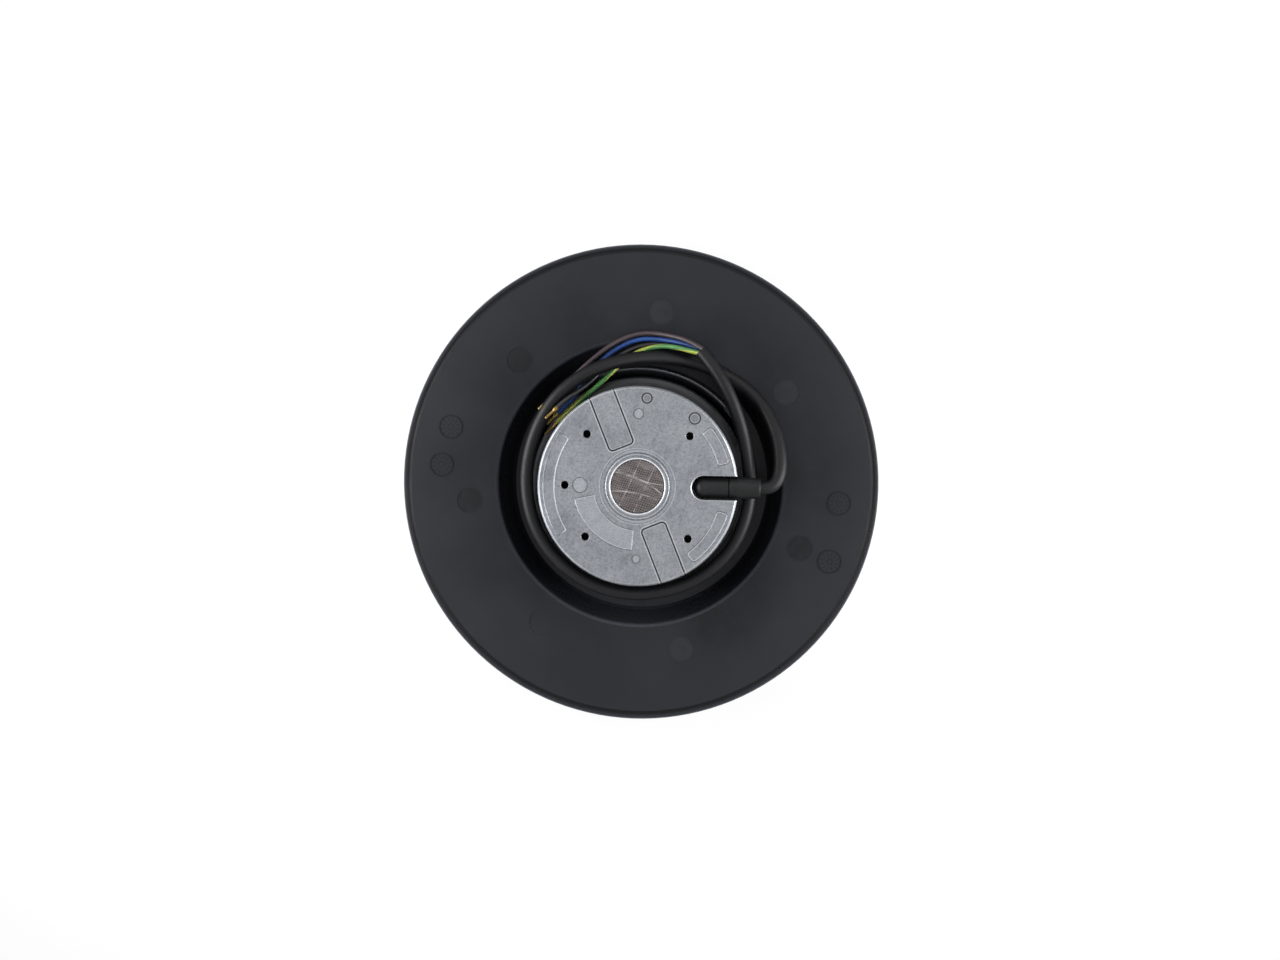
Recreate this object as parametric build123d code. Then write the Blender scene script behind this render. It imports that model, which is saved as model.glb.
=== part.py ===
from build123d import *
from math import cos, degrees, pi, radians, sin, tan
import os

# Centrifugal fan: backward-curved plastic impeller round an external-rotor motor.
# Millimetres. +Z points up out of the motor's mounting flange and is the spin axis.
# The origin is on that axis, in the plane of the inlet lip that the fan lies on.

# Clearances
RUN_GAP = 0.05
SEAT_GAP = 0.05
FREE_GAP = 0.3

# Impeller
IMPELLER_R = 112.5
DISC_TOP_Z = 71.0
DISC_WALL = 2.2
RIM_BEAD_H = 0.6
RIM_BEAD_W = 1.2
RIM_SKIRT_H = 2.0
RIM_SKIRT_W = 1.6
BOWL_FLARE = 6.8
BOWL_FLOOR_Z = 56.0
BOWL_FLOOR_W = 6.1
BOWL_WALL = 2.2
BOWL_ROUND = 3.4
BOWL_FOOT_W = 1.4
BOWL_FOOT_H = 2.8
COLLAR_WALL = 4.1
COLLAR_SHORT = 1.5
COLLAR_RIM_W = 1.0
COLLAR_DRAFT = 0.3
COLLAR_LEAD_W = 0.7
COLLAR_LEAD_H = 8.0
CLIP_SHEET = 0.5
CLIP_REACH = 5.0
CLIP_HOOK = 2.6
CLIP_W = 5.5
CLIP_ANGLE = 37.0
HUB_WALL = 2.4
HUB_RING_R = 30.0
HUB_FLOOR = 2.6
MARK_OUT = 14.1
MARK_SIZE_R = 6.0
MARK_DEPTH = 0.2
MARK_ANGLES = (33, 84, 135.5, 187, 236, 285, 339)
PIP_R = 1.0
PIP_H = 0.5
PIP_IN = 1.7
STAMP_R = 5.7
STAMP_RING_W = 0.5
STAMP_H = 0.25
STAMP_SPOTS = ((18.6, 164.6), (17.6, 175.8), (15.4, -21.3), (17.9, -4.6))

# Blades
BLADE_COUNT = 7
BLADE_T_MID = 3.0
BLADE_T_END = 1.6
BLADE_ROOT_IN = 0.8
BLADE_TIP_IN = 1.9
BLADE_ROOT_RUN = 4.0
BLADE_TIP_RUN = 1.0
BLADE_FIT = 0.3
BLADE_SWEEP = 43.0
BLADE_START = 8.0
BLADE_LEAD = 3.5
BLADE_LEAN = 1.25

# Inlet shroud
EYE_R = 73.5
EYE_LEN = 5.0
SHROUD_WALL = 2.0
SHROUD_BEND_R = 14.0
SHROUD_BEND = 75.0
SHROUD_BEAD_H = 1.6

# Rotor
CAN_R = 50.4
CAN_WALL = 1.6
CAN_DROP = 18.5
CAN_LIP_W = 5.4
CAN_SHOULDER_R = 2.6
CAN_DEPTH = 59.9
CAN_BOSS_R = 11.0
CAN_BOSS_H = 6.0
VENT_R = 3.5
VENT_CIRCLE_R = 21.0
VENT_COUNT = 6
HUB_SCREW_COUNT = 4
HUB_SCREW_CIRCLE_R = 39.0
HUB_SCREW_R = 2.0
HUB_SCREW_HEAD_R = 3.8
HUB_SCREW_HEAD_H = 2.4
HUB_SCREW_CROSS_L = 4.0
HUB_SCREW_CROSS_W = 0.9
STACK_DROP = 27.0
STACK_H = 30.0
ROTOR_RING_T = 8.2
BAR_COUNT = 20
BAR_DEPTH = 4.0
BAR_WIDTH = 3.0
END_RING_H = 4.0

# Shaft and ball bearings
SHAFT_R = 4.0
SHAFT_DROP = 6.0
BEARING_R = 11.0
BEARING_H = 7.0
BEARING_OUTER_IN_R = 9.3
BEARING_INNER_OUT_R = 5.7
BALL_R = 2.0
BALL_COUNT = 7
SHIELD_T = 0.4
SHIELD_INSET = 0.3
LOW_BEARING_BELOW = 6.4
HIGH_BEARING_DROP = 17.0
SHAFT_GROOVE = 0.5
RING_T = 1.0
RING_R = 6.4
RING_MOUTH = 2.4
WASHER_T = 0.8
WASHER_W = 2.6

# Stator
AIR_GAP = 0.35
SLOT_COUNT = 24
SLOT_ROOT_R = 21.8
SLOT_WIDTH = 4.4
SLOT_MOUTH = 1.6
SLOT_TIP = 1.4
TUBE_R = 13.5
TUBE_BORE_R = 8.0
TUBE_END_H = 1.0
INSULATOR_T = 1.2
INSULATOR_IN_R = 14.0
INSULATOR_IN = 2.2
INSULATOR_ARM_W = 2.6
INSULATOR_RING_W = 4.0
COIL_COUNT = 4
COIL_SPAN = 37.5
COIL_W = 2.6
COIL_RISE = 5.5
COIL_GAP = 1.2
COIL_REACH = 3.0
PROTECTOR = (13.0, 6.0, 3.6)
PROTECTOR_GAP = 0.95

# Stator flange
FLANGE_R = 46.0
FLANGE_T = 12.0
FACE_Z = 99.0
FLANGE_CHAMFER = 0.9
NECK_GAP = 3.0
NECK_T = 4.0
NECK_H = 9.5
CAVITY_DEPTH = 6.0
CAVITY_IN_R = 17.5
CAVITY_WALL = 1.0
CAVITY_BOSS_R = 4.6
BOLT_CIRCLE_R = 33.4
BOLT_CORE_R = 1.65
BOLT_MOUTH_R = 2.05
BOLT_DEPTH = 9.0
BOLT_ANGLES = (45, 135, 180, 225, 315)
COLLAR_OUT_R = 17.2
COLLAR_STEP_R = 15.4
COLLAR_GROOVE = 0.6
CAP_R = 12.4
CAP_T = 1.2
CAP_DROP = 0.6
PAD_ANGLES = (112.3, -67.7)
PAD_W = 11.1
PAD_IN_R = 19.6
PAD_GROOVE = 0.6
PAD_ROUND = 1.6
GROOVE_DEPTH = 0.8
RECESS = 0.35
CAST_DRAFT = 45.0
RIM_RECESS_IN_R = 38.4
RIM_RECESS_OUT_R = 43.3
RIM_RECESS_SPANS = ((15.7, 39.9), (-52.3, -15.9), (146, 213))
RIM_RECESS_ROUND = 1.2
PLATE_IN_R = 20.3
PLATE_OUT_R = 29.3
PLATE_SPAN = (192.5, 265.5)
FACE_RINGS = ((40.8, 84.8, 2.5), (33.4, 90, 2.3), (40.9, 51, 2.8), (26.4, 179.8, 3.4), (33.4, 270, 1.9))
FACE_RING_W = 0.6

# Cable slot and sleeve
SLOT_END_R = 24.9
CHANNEL_W = 11.1
CHANNEL_RIB = 1.5
CHANNEL_LEAD = 0.5
LEAD_HOLE_R = 3.0
SLEEVE_R = 5.2
SLEEVE_DROP = 5.4
SLEEVE_TIP_R = 4.5
SLEEVE_START_X = 26.0
SLEEVE_NOSE = 4.2
SLEEVE_END_X = 56.6
SLEEVE_BAND_X = 42.0

# Cable, conductors and ferrules
CABLE_R = 3.1
CORE_R = 1.1
FERRULE_R = 0.75
FERRULE_LEN = 7.5
FERRULE_COLLAR_R = 1.2
FERRULE_COLLAR_LEN = 1.6

# Heights and radii that follow from the sizes above
CAN_TOP_Z = FACE_Z - CAN_DROP
CAN_FLOOR_Z = CAN_TOP_Z - CAN_DEPTH
COLLAR_TOP_Z = CAN_TOP_Z - COLLAR_SHORT
STACK_HIGH_Z = FACE_Z - STACK_DROP
STACK_LOW_Z = STACK_HIGH_Z - STACK_H
HIGH_BEARING_Z = FACE_Z - HIGH_BEARING_DROP
LOW_BEARING_Z = STACK_LOW_Z - LOW_BEARING_BELOW
TUBE_LOW_Z = LOW_BEARING_Z - TUBE_END_H
SHAFT_TOP_Z = FACE_Z - SHAFT_DROP
COLLAR_R = CAN_R + COLLAR_WALL
BOWL_FLOOR_R = COLLAR_R + BOWL_FLOOR_W
LIP_R = BOWL_FLOOR_R + BOWL_FLARE
MARK_R = LIP_R + MARK_OUT
BLADE_ROOT_R = LIP_R - BLADE_ROOT_IN
BLADE_TIP_R = IMPELLER_R - BLADE_TIP_IN
CAN_MOUTH_R = CAN_R - CAN_LIP_W
NECK_R = CAN_MOUTH_R - NECK_GAP
NECK_IN_R = NECK_R - NECK_T
CAVITY_OUT_R = NECK_IN_R - CAVITY_WALL
DISC_LOW_Z = DISC_TOP_Z - DISC_WALL
NECK_LOW_Z = FACE_Z - FLANGE_T - NECK_H
FLANGE_LOW_Z = FACE_Z - FLANGE_T
HUB_IN_R = CAN_R + SEAT_GAP
HUB_OUT_R = HUB_IN_R + HUB_WALL
HUB_LOW_Z = CAN_FLOOR_Z - SEAT_GAP - HUB_FLOOR
ROTOR_OUT_R = CAN_R - CAN_WALL - SEAT_GAP
ROTOR_IN_R = ROTOR_OUT_R - ROTOR_RING_T
STATOR_R = ROTOR_IN_R - AIR_GAP
STATOR_BORE_R = TUBE_R + SEAT_GAP
SLOT_TOP_R = STATOR_R - SLOT_TIP
SLOT_DEPTH = SLOT_TOP_R - SLOT_ROOT_R
COIL_LEG = (SLOT_DEPTH - 3 * COIL_GAP) / 2
AUX_COIL_R = SLOT_ROOT_R + COIL_GAP + COIL_LEG / 2
MAIN_COIL_R = SLOT_TOP_R - COIL_GAP - COIL_LEG / 2
INSULATOR_ARM_L = STATOR_R - INSULATOR_IN - INSULATOR_IN_R
BALL_CIRCLE_R = (BEARING_OUTER_IN_R + BEARING_INNER_OUT_R) / 2
SLEEVE_Z = FACE_Z - SLEEVE_DROP
BEND_TURN = radians(SHROUD_BEND)
BEND_END_R = EYE_R + SHROUD_BEND_R * (1 - cos(BEND_TURN))
BEND_END_Z = EYE_LEN + SHROUD_BEND_R * sin(BEND_TURN)
SHROUD_SLOPE = radians(90 - SHROUD_BEND)
SHROUD_EDGE_Z = BEND_END_Z + (IMPELLER_R - BEND_END_R) * tan(SHROUD_SLOPE)

# Routes, each a list of corners from the exit to the free end
CABLE_ROUTE = [
    (SLEEVE_END_X, 0, SLEEVE_Z), (60.4, 0.2, 93.5), (63.7, 2.6, 92.9), (65.4, 6.8, 91.7),
    (65.7, 12.4, 89.6), (64.9, 19.6, 86.6), (62.8, 27.2, 83.2), (59.2, 34.8, 79.9),
    (54, 41.4, 77.2), (46.5, 47.9, 75.2), (36.4, 53.4, 74.3), (23.5, 58.1, 75.4),
    (6.1, 60, 80.4), (-11.6, 57.6, 85.6), (-27.1, 50.8, 88), (-40, 40.1, 87.6),
    (-48.6, 24.9, 85.6), (-52.7, 8.3, 84.3), (-52.4, -7.6, 84), (-47.4, -23.5, 84),
    (-37.3, -36.9, 84), (-22, -47.5, 84), (-3.6, -51.8, 84), (14.2, -49.8, 84),
    (30.5, -42.7, 84), (42.9, -31.2, 84), (49.9, -17, 84), (52.2, -2.3, 84),
    (51, 10.8, 84.2), (48.7, 22.5, 85.2), (45.2, 34.2, 86.6), (39.8, 46.3, 87),
    (33.1, 56.7, 86), (28, 62.5, 84),
]
BROWN_ROUTE = [
    (28.8, 63.6, 85.3), (22, 67.6, 82.4), (14.9, 69.5, 78.4), (7.1, 70.9, 75),
    (-1, 70.9, 73.4), (-8.5, 68.6, 74.2), (-15.8, 64.3, 76.4), (-22.3, 58.8, 78.6),
    (-28.2, 53.2, 80), (-33.4, 48, 80.5), (-38, 43.4, 80.6), (-42.4, 39.3, 80.6),
]
BLUE_ROUTE = [
    (29.2, 63.1, 82.7), (21, 65.8, 79.4), (13.7, 67.4, 75.8), (6.6, 68.3, 73.4),
    (-0.8, 68.2, 72.9), (-8.1, 65.8, 73.1), (-14.4, 61.7, 74), (-19.3, 57.1, 76.2),
    (-23.2, 52.3, 80.2), (-26.4, 47.2, 82.8), (-29.7, 42.3, 83), (-34.1, 37.3, 82.6),
    (-38.5, 32.7, 82.5),
]
BLACK_ROUTE = [
    (27.2, 61.4, 82.7), (22.4, 62.6, 77.8), (16.4, 64.8, 74.6), (9.5, 65.9, 73.2),
    (1.4, 65.5, 72.9), (-5.9, 63, 73.3), (-12.1, 59, 75.8), (-17, 54.6, 79.6),
    (-21, 50, 82.9), (-25, 46, 85.2), (-29.6, 42.4, 87.8), (-34.3, 39.2, 90),
    (-38.2, 35.4, 90.5),
]
EARTH_ROUTE = [
    (26.8, 61.9, 85.3), (22, 63, 83.6), (16.2, 64.4, 81.4), (10.2, 65, 78.8),
    (3.6, 64, 76.2), (-2.5, 61.8, 75.8), (-7.5, 58.4, 78.2), (-11.9, 54, 82),
    (-16.5, 49.2, 83.6), (-22, 44.2, 83.2), (-28.1, 38.7, 82.6), (-34.1, 33.2, 82.5),
    (-39.2, 28, 82.4),
]
CORE_ROUTES = {"brown": BROWN_ROUTE, "blue": BLUE_ROUTE, "black": BLACK_ROUTE, "earth": EARTH_ROUTE}


def turned(points):
    """A solid of revolution about Z from (radius, height) corners."""
    outline = Polyline([(r, 0, z) for r, z in points], close=True)
    return revolve(make_face(outline), Axis.Z)


def tube_ring(r_in, r_out, z_low, z_high):
    """A plain ring between two radii and two heights."""
    return turned([(r_in, z_low), (r_out, z_low), (r_out, z_high), (r_in, z_high)])


def post(r, z_low, z_high, x=0.0, y=0.0):
    """A round post or hole standing along Z."""
    return Pos(x, y, z_low) * Cylinder(r, z_high - z_low, align=(Align.CENTER, Align.CENTER, Align.MIN))


def polar(r, angle):
    """The point at this radius and angle in degrees."""
    return (r * cos(radians(angle)), r * sin(radians(angle)))


def sector(r_in, r_out, start, end, z_low, height, draft=0, corner=0):
    """A block shaped like a piece of a ring, with walls that lean out by the draft."""
    middle = (start + end) / 2
    outline = [
        ThreePointArc(polar(r_out, start), polar(r_out, middle), polar(r_out, end)),
        Line(polar(r_out, end), polar(r_in, end)),
        ThreePointArc(polar(r_in, end), polar(r_in, middle), polar(r_in, start)),
        Line(polar(r_in, start), polar(r_out, start)),
    ]
    face = make_face(outline)
    if corner:
        face = fillet(face.vertices(), corner)
    return Pos(0, 0, z_low) * extrude(face, height, taper=-draft)


def impeller_disc():
    """Back disc, motor bowl, clamping collar and hub cup, moulded as one piece."""
    section = [
        (IMPELLER_R, DISC_LOW_Z - RIM_SKIRT_H),
        (IMPELLER_R, DISC_TOP_Z + RIM_BEAD_H),
        (IMPELLER_R - RIM_BEAD_W, DISC_TOP_Z + RIM_BEAD_H),
        (IMPELLER_R - 2 * RIM_BEAD_W, DISC_TOP_Z - RIM_BEAD_H / 2),
        (IMPELLER_R - 3 * RIM_BEAD_W, DISC_TOP_Z),
        (LIP_R + 1.2, DISC_TOP_Z),
        (LIP_R + 0.2, DISC_TOP_Z - 0.4),
        (LIP_R - 0.6, DISC_TOP_Z - 1.4),
        (BOWL_FLOOR_R + 2.4, BOWL_FLOOR_Z + 3.4),
        (BOWL_FLOOR_R + 1.4, BOWL_FLOOR_Z + 1.1),
        (BOWL_FLOOR_R, BOWL_FLOOR_Z),
        (COLLAR_R + 1.4, BOWL_FLOOR_Z),
        (COLLAR_R + COLLAR_DRAFT, BOWL_FLOOR_Z + 1.1),
        (COLLAR_R, COLLAR_TOP_Z - 0.3),
        (COLLAR_R - 0.3, COLLAR_TOP_Z),
        (COLLAR_R - COLLAR_RIM_W, COLLAR_TOP_Z),
        (HUB_IN_R + COLLAR_LEAD_W, COLLAR_TOP_Z - COLLAR_LEAD_H),
        (HUB_IN_R, COLLAR_TOP_Z - COLLAR_LEAD_H - 2),
        (HUB_IN_R, HUB_LOW_Z + HUB_FLOOR),
        (HUB_RING_R, HUB_LOW_Z + HUB_FLOOR),
        (HUB_RING_R, HUB_LOW_Z),
        (HUB_OUT_R - 5, HUB_LOW_Z),
        (HUB_OUT_R - 2.2, HUB_LOW_Z + 0.8),
        (HUB_OUT_R - 0.6, HUB_LOW_Z + 2.6),
        (HUB_OUT_R, HUB_LOW_Z + 5.5),
        (HUB_OUT_R, BOWL_FLOOR_Z - BOWL_WALL - 2.5),
        (HUB_OUT_R + 0.8, BOWL_FLOOR_Z - BOWL_WALL - 0.8),
        (HUB_OUT_R + 2.6, BOWL_FLOOR_Z - BOWL_WALL),
        (BOWL_FLOOR_R + 1, BOWL_FLOOR_Z - BOWL_WALL),
        (BOWL_FLOOR_R + BOWL_ROUND, BOWL_FLOOR_Z - BOWL_WALL + 1.6),
        (BOWL_FLOOR_R + BOWL_ROUND + BOWL_FOOT_W, BOWL_FLOOR_Z + BOWL_FOOT_H),
        (LIP_R + BOWL_ROUND / 2, DISC_LOW_Z - 1.2),
        (LIP_R + BOWL_ROUND, DISC_LOW_Z),
        (IMPELLER_R - RIM_SKIRT_W, DISC_LOW_Z),
        (IMPELLER_R - RIM_SKIRT_W + 0.4, DISC_LOW_Z - RIM_SKIRT_H),
    ]
    disc = turned(section)
    for angle in MARK_ANGLES:
        x, y = polar(MARK_R, angle)
        disc -= post(MARK_SIZE_R, DISC_TOP_Z - MARK_DEPTH, DISC_TOP_Z + 1, x, y)
    for i in range(BLADE_COUNT):
        x, y = polar(BOWL_FLOOR_R - PIP_IN, 360 * i / BLADE_COUNT - 89)
        disc += post(PIP_R, BOWL_FLOOR_Z - 0.5, BOWL_FLOOR_Z + PIP_H, x, y)
    for inset, angle in STAMP_SPOTS:
        x, y = polar(IMPELLER_R - inset, angle)
        ring = post(STAMP_R, DISC_TOP_Z - 0.5, DISC_TOP_Z + STAMP_H, x, y)
        disc += ring - post(STAMP_R - STAMP_RING_W, DISC_TOP_Z - 1, DISC_TOP_Z + 1, x, y)
    for i in range(HUB_SCREW_COUNT):
        x, y = polar(HUB_SCREW_CIRCLE_R, 360 * (i + 0.5) / HUB_SCREW_COUNT)
        disc -= post(HUB_SCREW_R + FREE_GAP, HUB_LOW_Z - 1, HUB_LOW_Z + HUB_FLOOR + 1, x, y)
    return disc


def air_passage():
    """The space between disc and shroud that the blades fill from edge to edge."""
    top = DISC_LOW_Z - SEAT_GAP
    rise = 4 * SEAT_GAP
    bend = [
        (EYE_R + SHROUD_BEND_R * (1 - cos(radians(a))), EYE_LEN + SHROUD_BEND_R * sin(radians(a)))
        for a in (42, 53, 64, SHROUD_BEND)
    ]
    edge_z = BEND_END_Z + (BLADE_TIP_R - BEND_END_R) * tan(SHROUD_SLOPE)
    section = [(r, z + rise) for r, z in bend] + [
        (BLADE_TIP_R, edge_z + rise),
        (BLADE_TIP_R, top),
        (LIP_R + BOWL_ROUND + BLADE_FIT, top),
        (LIP_R + BOWL_ROUND / 2 + 2 * BLADE_FIT, DISC_LOW_Z - BOWL_ROUND / 2),
        (BOWL_FLOOR_R + BOWL_ROUND + BOWL_FOOT_W + 2 * BLADE_FIT, BOWL_FLOOR_Z + BOWL_FOOT_H - BLADE_FIT),
    ]
    return turned(section)


def blades():
    """Backward-curved blades, thickest at mid chord, trimmed to the air passage."""
    low, high = EYE_LEN, DISC_TOP_Z
    middle_r = (BLADE_ROOT_R * BLADE_TIP_R) ** 0.5
    made = []
    passage = air_passage()
    for i in range(BLADE_COUNT):
        start = BLADE_START + 360 * i / BLADE_COUNT

        def edge(side):
            """One face of the blade, as an arc through root, middle and tip."""
            spots = []
            stations = (
                (BLADE_ROOT_R - BLADE_ROOT_RUN, BLADE_LEAD, BLADE_T_END),
                (middle_r, -BLADE_SWEEP / 2, BLADE_T_MID),
                (BLADE_TIP_R + BLADE_TIP_RUN, -BLADE_SWEEP, BLADE_T_END),
            )
            for r, turn, thick in stations:
                shift = side * degrees(thick / 2 / r) * BLADE_LEAN
                spots.append(polar(r, start + turn + shift))
            return ThreePointArc(*spots)

        front, back = edge(1), edge(-1)
        outline = [front, Line(front @ 1, back @ 1), back, Line(back @ 0, front @ 0)]
        blade = Pos(0, 0, low) * extrude(make_face(outline), high - low)
        made.append(blade & passage)
    return made


def inlet_shroud():
    """Curved ring from the inlet eye out to the rim, which the fan lies on."""
    r_in, r_out = SHROUD_BEND_R, SHROUD_BEND_R - SHROUD_WALL
    centre_r = EYE_R + SHROUD_BEND_R
    slope = tan(SHROUD_SLOPE)
    air_end = (IMPELLER_R, 0, SHROUD_EDGE_Z)
    bead_in_r = IMPELLER_R - SHROUD_WALL
    drop = SHROUD_WALL / cos(SHROUD_SLOPE)
    bead_z = SHROUD_EDGE_Z - drop - SHROUD_BEAD_H

    def on_bend(r, turn):
        """A point on the bend at this radius and turn from the throat."""
        return (centre_r - r * cos(turn), 0, EYE_LEN + r * sin(turn))

    half = BEND_TURN / 2
    low_end = (bead_in_r, 0, SHROUD_EDGE_Z - SHROUD_WALL * slope - drop)
    outline = [
        Line((EYE_R, 0, 0), (EYE_R, 0, EYE_LEN)),
        ThreePointArc(on_bend(r_in, 0), on_bend(r_in, half), on_bend(r_in, BEND_TURN)),
        Line(on_bend(r_in, BEND_TURN), air_end),
        Line(air_end, (IMPELLER_R, 0, bead_z)),
        Line((IMPELLER_R, 0, bead_z), (bead_in_r, 0, bead_z)),
        Line((bead_in_r, 0, bead_z), low_end),
        Line(low_end, on_bend(r_out, BEND_TURN)),
        ThreePointArc(on_bend(r_out, BEND_TURN), on_bend(r_out, half), on_bend(r_out, 0)),
        Line((EYE_R + SHROUD_WALL, 0, EYE_LEN), (EYE_R + SHROUD_WALL, 0, 0)),
        Line((EYE_R + SHROUD_WALL, 0, 0), (EYE_R, 0, 0)),
    ]
    return revolve(make_face(outline), Axis.Z)


def balance_clip():
    """Spring-steel clip pushed over the collar's rim to balance the impeller."""
    t, reach, hook = CLIP_SHEET, CLIP_REACH, CLIP_HOOK
    r_in = COLLAR_R - COLLAR_RIM_W - SEAT_GAP
    r_out = COLLAR_R + COLLAR_DRAFT / 2
    top = COLLAR_TOP_Z + SEAT_GAP
    lean = hook * (r_in - HUB_IN_R - COLLAR_LEAD_W) / COLLAR_LEAD_H + SEAT_GAP
    section = [
        (r_in - t - lean, top - hook), (r_in - t, top + t), (r_out + t, top + t), (r_out + t, top - reach),
        (r_out, top - reach), (r_out, top), (r_in, top), (r_in - lean, top - hook),
    ]
    outline = Polyline([(r, 0, z) for r, z in section], close=True)
    ring = revolve(make_face(outline), Axis.Z, degrees(CLIP_W / COLLAR_R))
    return Rot(0, 0, CLIP_ANGLE) * ring


def rotor_can():
    """Deep-drawn rotor can, open upwards, with vents and the shaft boss in its floor."""
    inner_r = CAN_R - CAN_WALL
    low, floor = CAN_FLOOR_Z, CAN_FLOOR_Z + CAN_WALL
    round_r = CAN_SHOULDER_R
    half = round_r * (1 - cos(radians(45)))
    section = [
        (SHAFT_R + SEAT_GAP / 2, low),
        (CAN_R - 3, low),
        (CAN_R - 0.9, low + 0.9),
        (CAN_R, low + 3),
        (CAN_R, CAN_TOP_Z - round_r),
        (CAN_R - half, CAN_TOP_Z - half),
        (CAN_R - round_r, CAN_TOP_Z),
        (CAN_MOUTH_R, CAN_TOP_Z),
        (CAN_MOUTH_R, CAN_TOP_Z - CAN_WALL),
        (inner_r - 1.2, CAN_TOP_Z - CAN_WALL),
        (inner_r, CAN_TOP_Z - CAN_WALL - 1.2),
        (inner_r, floor + 1.6),
        (inner_r - 1.6, floor),
        (CAN_BOSS_R + 1.2, floor),
        (CAN_BOSS_R, floor + 1.2),
        (CAN_BOSS_R - 1.5, floor + CAN_BOSS_H),
        (SHAFT_R + SEAT_GAP / 2, floor + CAN_BOSS_H),
    ]
    can = turned(section)
    for i in range(VENT_COUNT):
        x, y = polar(VENT_CIRCLE_R, 360 * i / VENT_COUNT)
        can -= post(VENT_R, low - 1, floor + 1, x, y)
    for i in range(HUB_SCREW_COUNT):
        x, y = polar(HUB_SCREW_CIRCLE_R, 360 * (i + 0.5) / HUB_SCREW_COUNT)
        can -= post(HUB_SCREW_R + SEAT_GAP, low - 1, floor + 1, x, y)
    return can


def hub_screws():
    """Pan-head screws that hold the hub cup to the rotor can."""
    screws = []
    top = CAN_FLOOR_Z + CAN_WALL + 2
    for i in range(HUB_SCREW_COUNT):
        x, y = polar(HUB_SCREW_CIRCLE_R, 360 * (i + 0.5) / HUB_SCREW_COUNT)
        head_low = HUB_LOW_Z - HUB_SCREW_HEAD_H
        head = post(HUB_SCREW_HEAD_R, head_low, HUB_LOW_Z, x, y)
        head = chamfer(head.edges().group_by(Axis.Z)[0], HUB_SCREW_HEAD_H * 0.3)
        bar = Box(HUB_SCREW_CROSS_L, HUB_SCREW_CROSS_W, HUB_SCREW_HEAD_H)
        cross = bar + Rot(0, 0, 90) * bar
        head -= Pos(x, y, head_low) * cross
        screws.append(head + post(HUB_SCREW_R, HUB_LOW_Z, top, x, y))
    return Compound(screws)


def bar_slots(clearance):
    """The blocks that fill, or with a clearance cut, the rotor's bar slots."""
    mid_r = (ROTOR_IN_R + ROTOR_OUT_R) / 2
    wide = BAR_WIDTH + 2 * clearance
    deep = BAR_DEPTH + 2 * clearance
    height = STACK_HIGH_Z - STACK_LOW_Z + (2 if clearance else 0)
    block = Box(deep, wide, height)
    middle = (STACK_LOW_Z + STACK_HIGH_Z) / 2
    return [Rot(0, 0, 360 * i / BAR_COUNT) * Pos(mid_r, 0, middle) * block for i in range(BAR_COUNT)]


def rotor_core():
    """Ring of steel laminations pressed into the can."""
    core = tube_ring(ROTOR_IN_R, ROTOR_OUT_R, STACK_LOW_Z, STACK_HIGH_Z)
    return core - bar_slots(SEAT_GAP)


def squirrel_cage():
    """Cast aluminium bars with an end ring above and below the laminations."""
    r_in, r_out = ROTOR_IN_R + 0.6, ROTOR_OUT_R - 0.8
    low = tube_ring(r_in, r_out, STACK_LOW_Z - END_RING_H, STACK_LOW_Z)
    high = tube_ring(r_in, r_out, STACK_HIGH_Z, STACK_HIGH_Z + END_RING_H)
    return low + high + bar_slots(0)


def shaft():
    """Ground steel shaft fixed in the can's boss, grooved for its retaining clip."""
    groove_z = HIGH_BEARING_Z + BEARING_H + SEAT_GAP
    groove_top = groove_z + RING_T + 2 * SEAT_GAP
    neck_r = SHAFT_R - SHAFT_GROOVE
    section = [
        (0, CAN_FLOOR_Z - 0.6), (neck_r, CAN_FLOOR_Z - 0.6), (SHAFT_R, CAN_FLOOR_Z),
        (SHAFT_R, groove_z), (neck_r, groove_z), (neck_r, groove_top), (SHAFT_R, groove_top),
        (SHAFT_R, SHAFT_TOP_Z - 0.5), (neck_r, SHAFT_TOP_Z), (0, SHAFT_TOP_Z),
    ]
    return turned(section)


def shaft_clip():
    """Open retaining clip in the shaft's groove, above the upper bearing."""
    low = HIGH_BEARING_Z + BEARING_H + SEAT_GAP
    ring = tube_ring(SHAFT_R - SHAFT_GROOVE + SEAT_GAP, RING_R, low + SEAT_GAP, low + RING_T)
    return ring - Pos(RING_R, 0, low) * Box(RING_R, RING_MOUTH, 4 * RING_T)


def ball_track(z):
    """The round groove that the balls run in, as a solid to cut with."""
    circle = Rot(90, 0, 0) * Circle(BALL_R + RUN_GAP)
    return revolve(Pos(BALL_CIRCLE_R, 0, z + BEARING_H / 2) * circle, Axis.Z)


def bearing_outer_ring(z):
    """Outer ring with its ball groove."""
    return tube_ring(BEARING_OUTER_IN_R, BEARING_R, z, z + BEARING_H) - ball_track(z)


def bearing_inner_ring(z):
    """Inner ring with its ball groove."""
    return tube_ring(SHAFT_R + RUN_GAP / 2, BEARING_INNER_OUT_R, z, z + BEARING_H) - ball_track(z)


def bearing_balls(z):
    """The balls between the two rings."""
    spots = PolarLocations(BALL_CIRCLE_R, BALL_COUNT)
    return Compound([Pos(0, 0, z + BEARING_H / 2) * spot * Sphere(BALL_R) for spot in spots])


def bearing_shields(z):
    """Thin steel shields held in the outer ring, one each side of the balls."""
    r_in, r_out = BEARING_INNER_OUT_R + FREE_GAP, BEARING_OUTER_IN_R - SEAT_GAP
    low = z + SHIELD_INSET
    high = z + BEARING_H - SHIELD_INSET - SHIELD_T
    return Compound([tube_ring(r_in, r_out, foot, foot + SHIELD_T) for foot in (low, high)])


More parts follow.
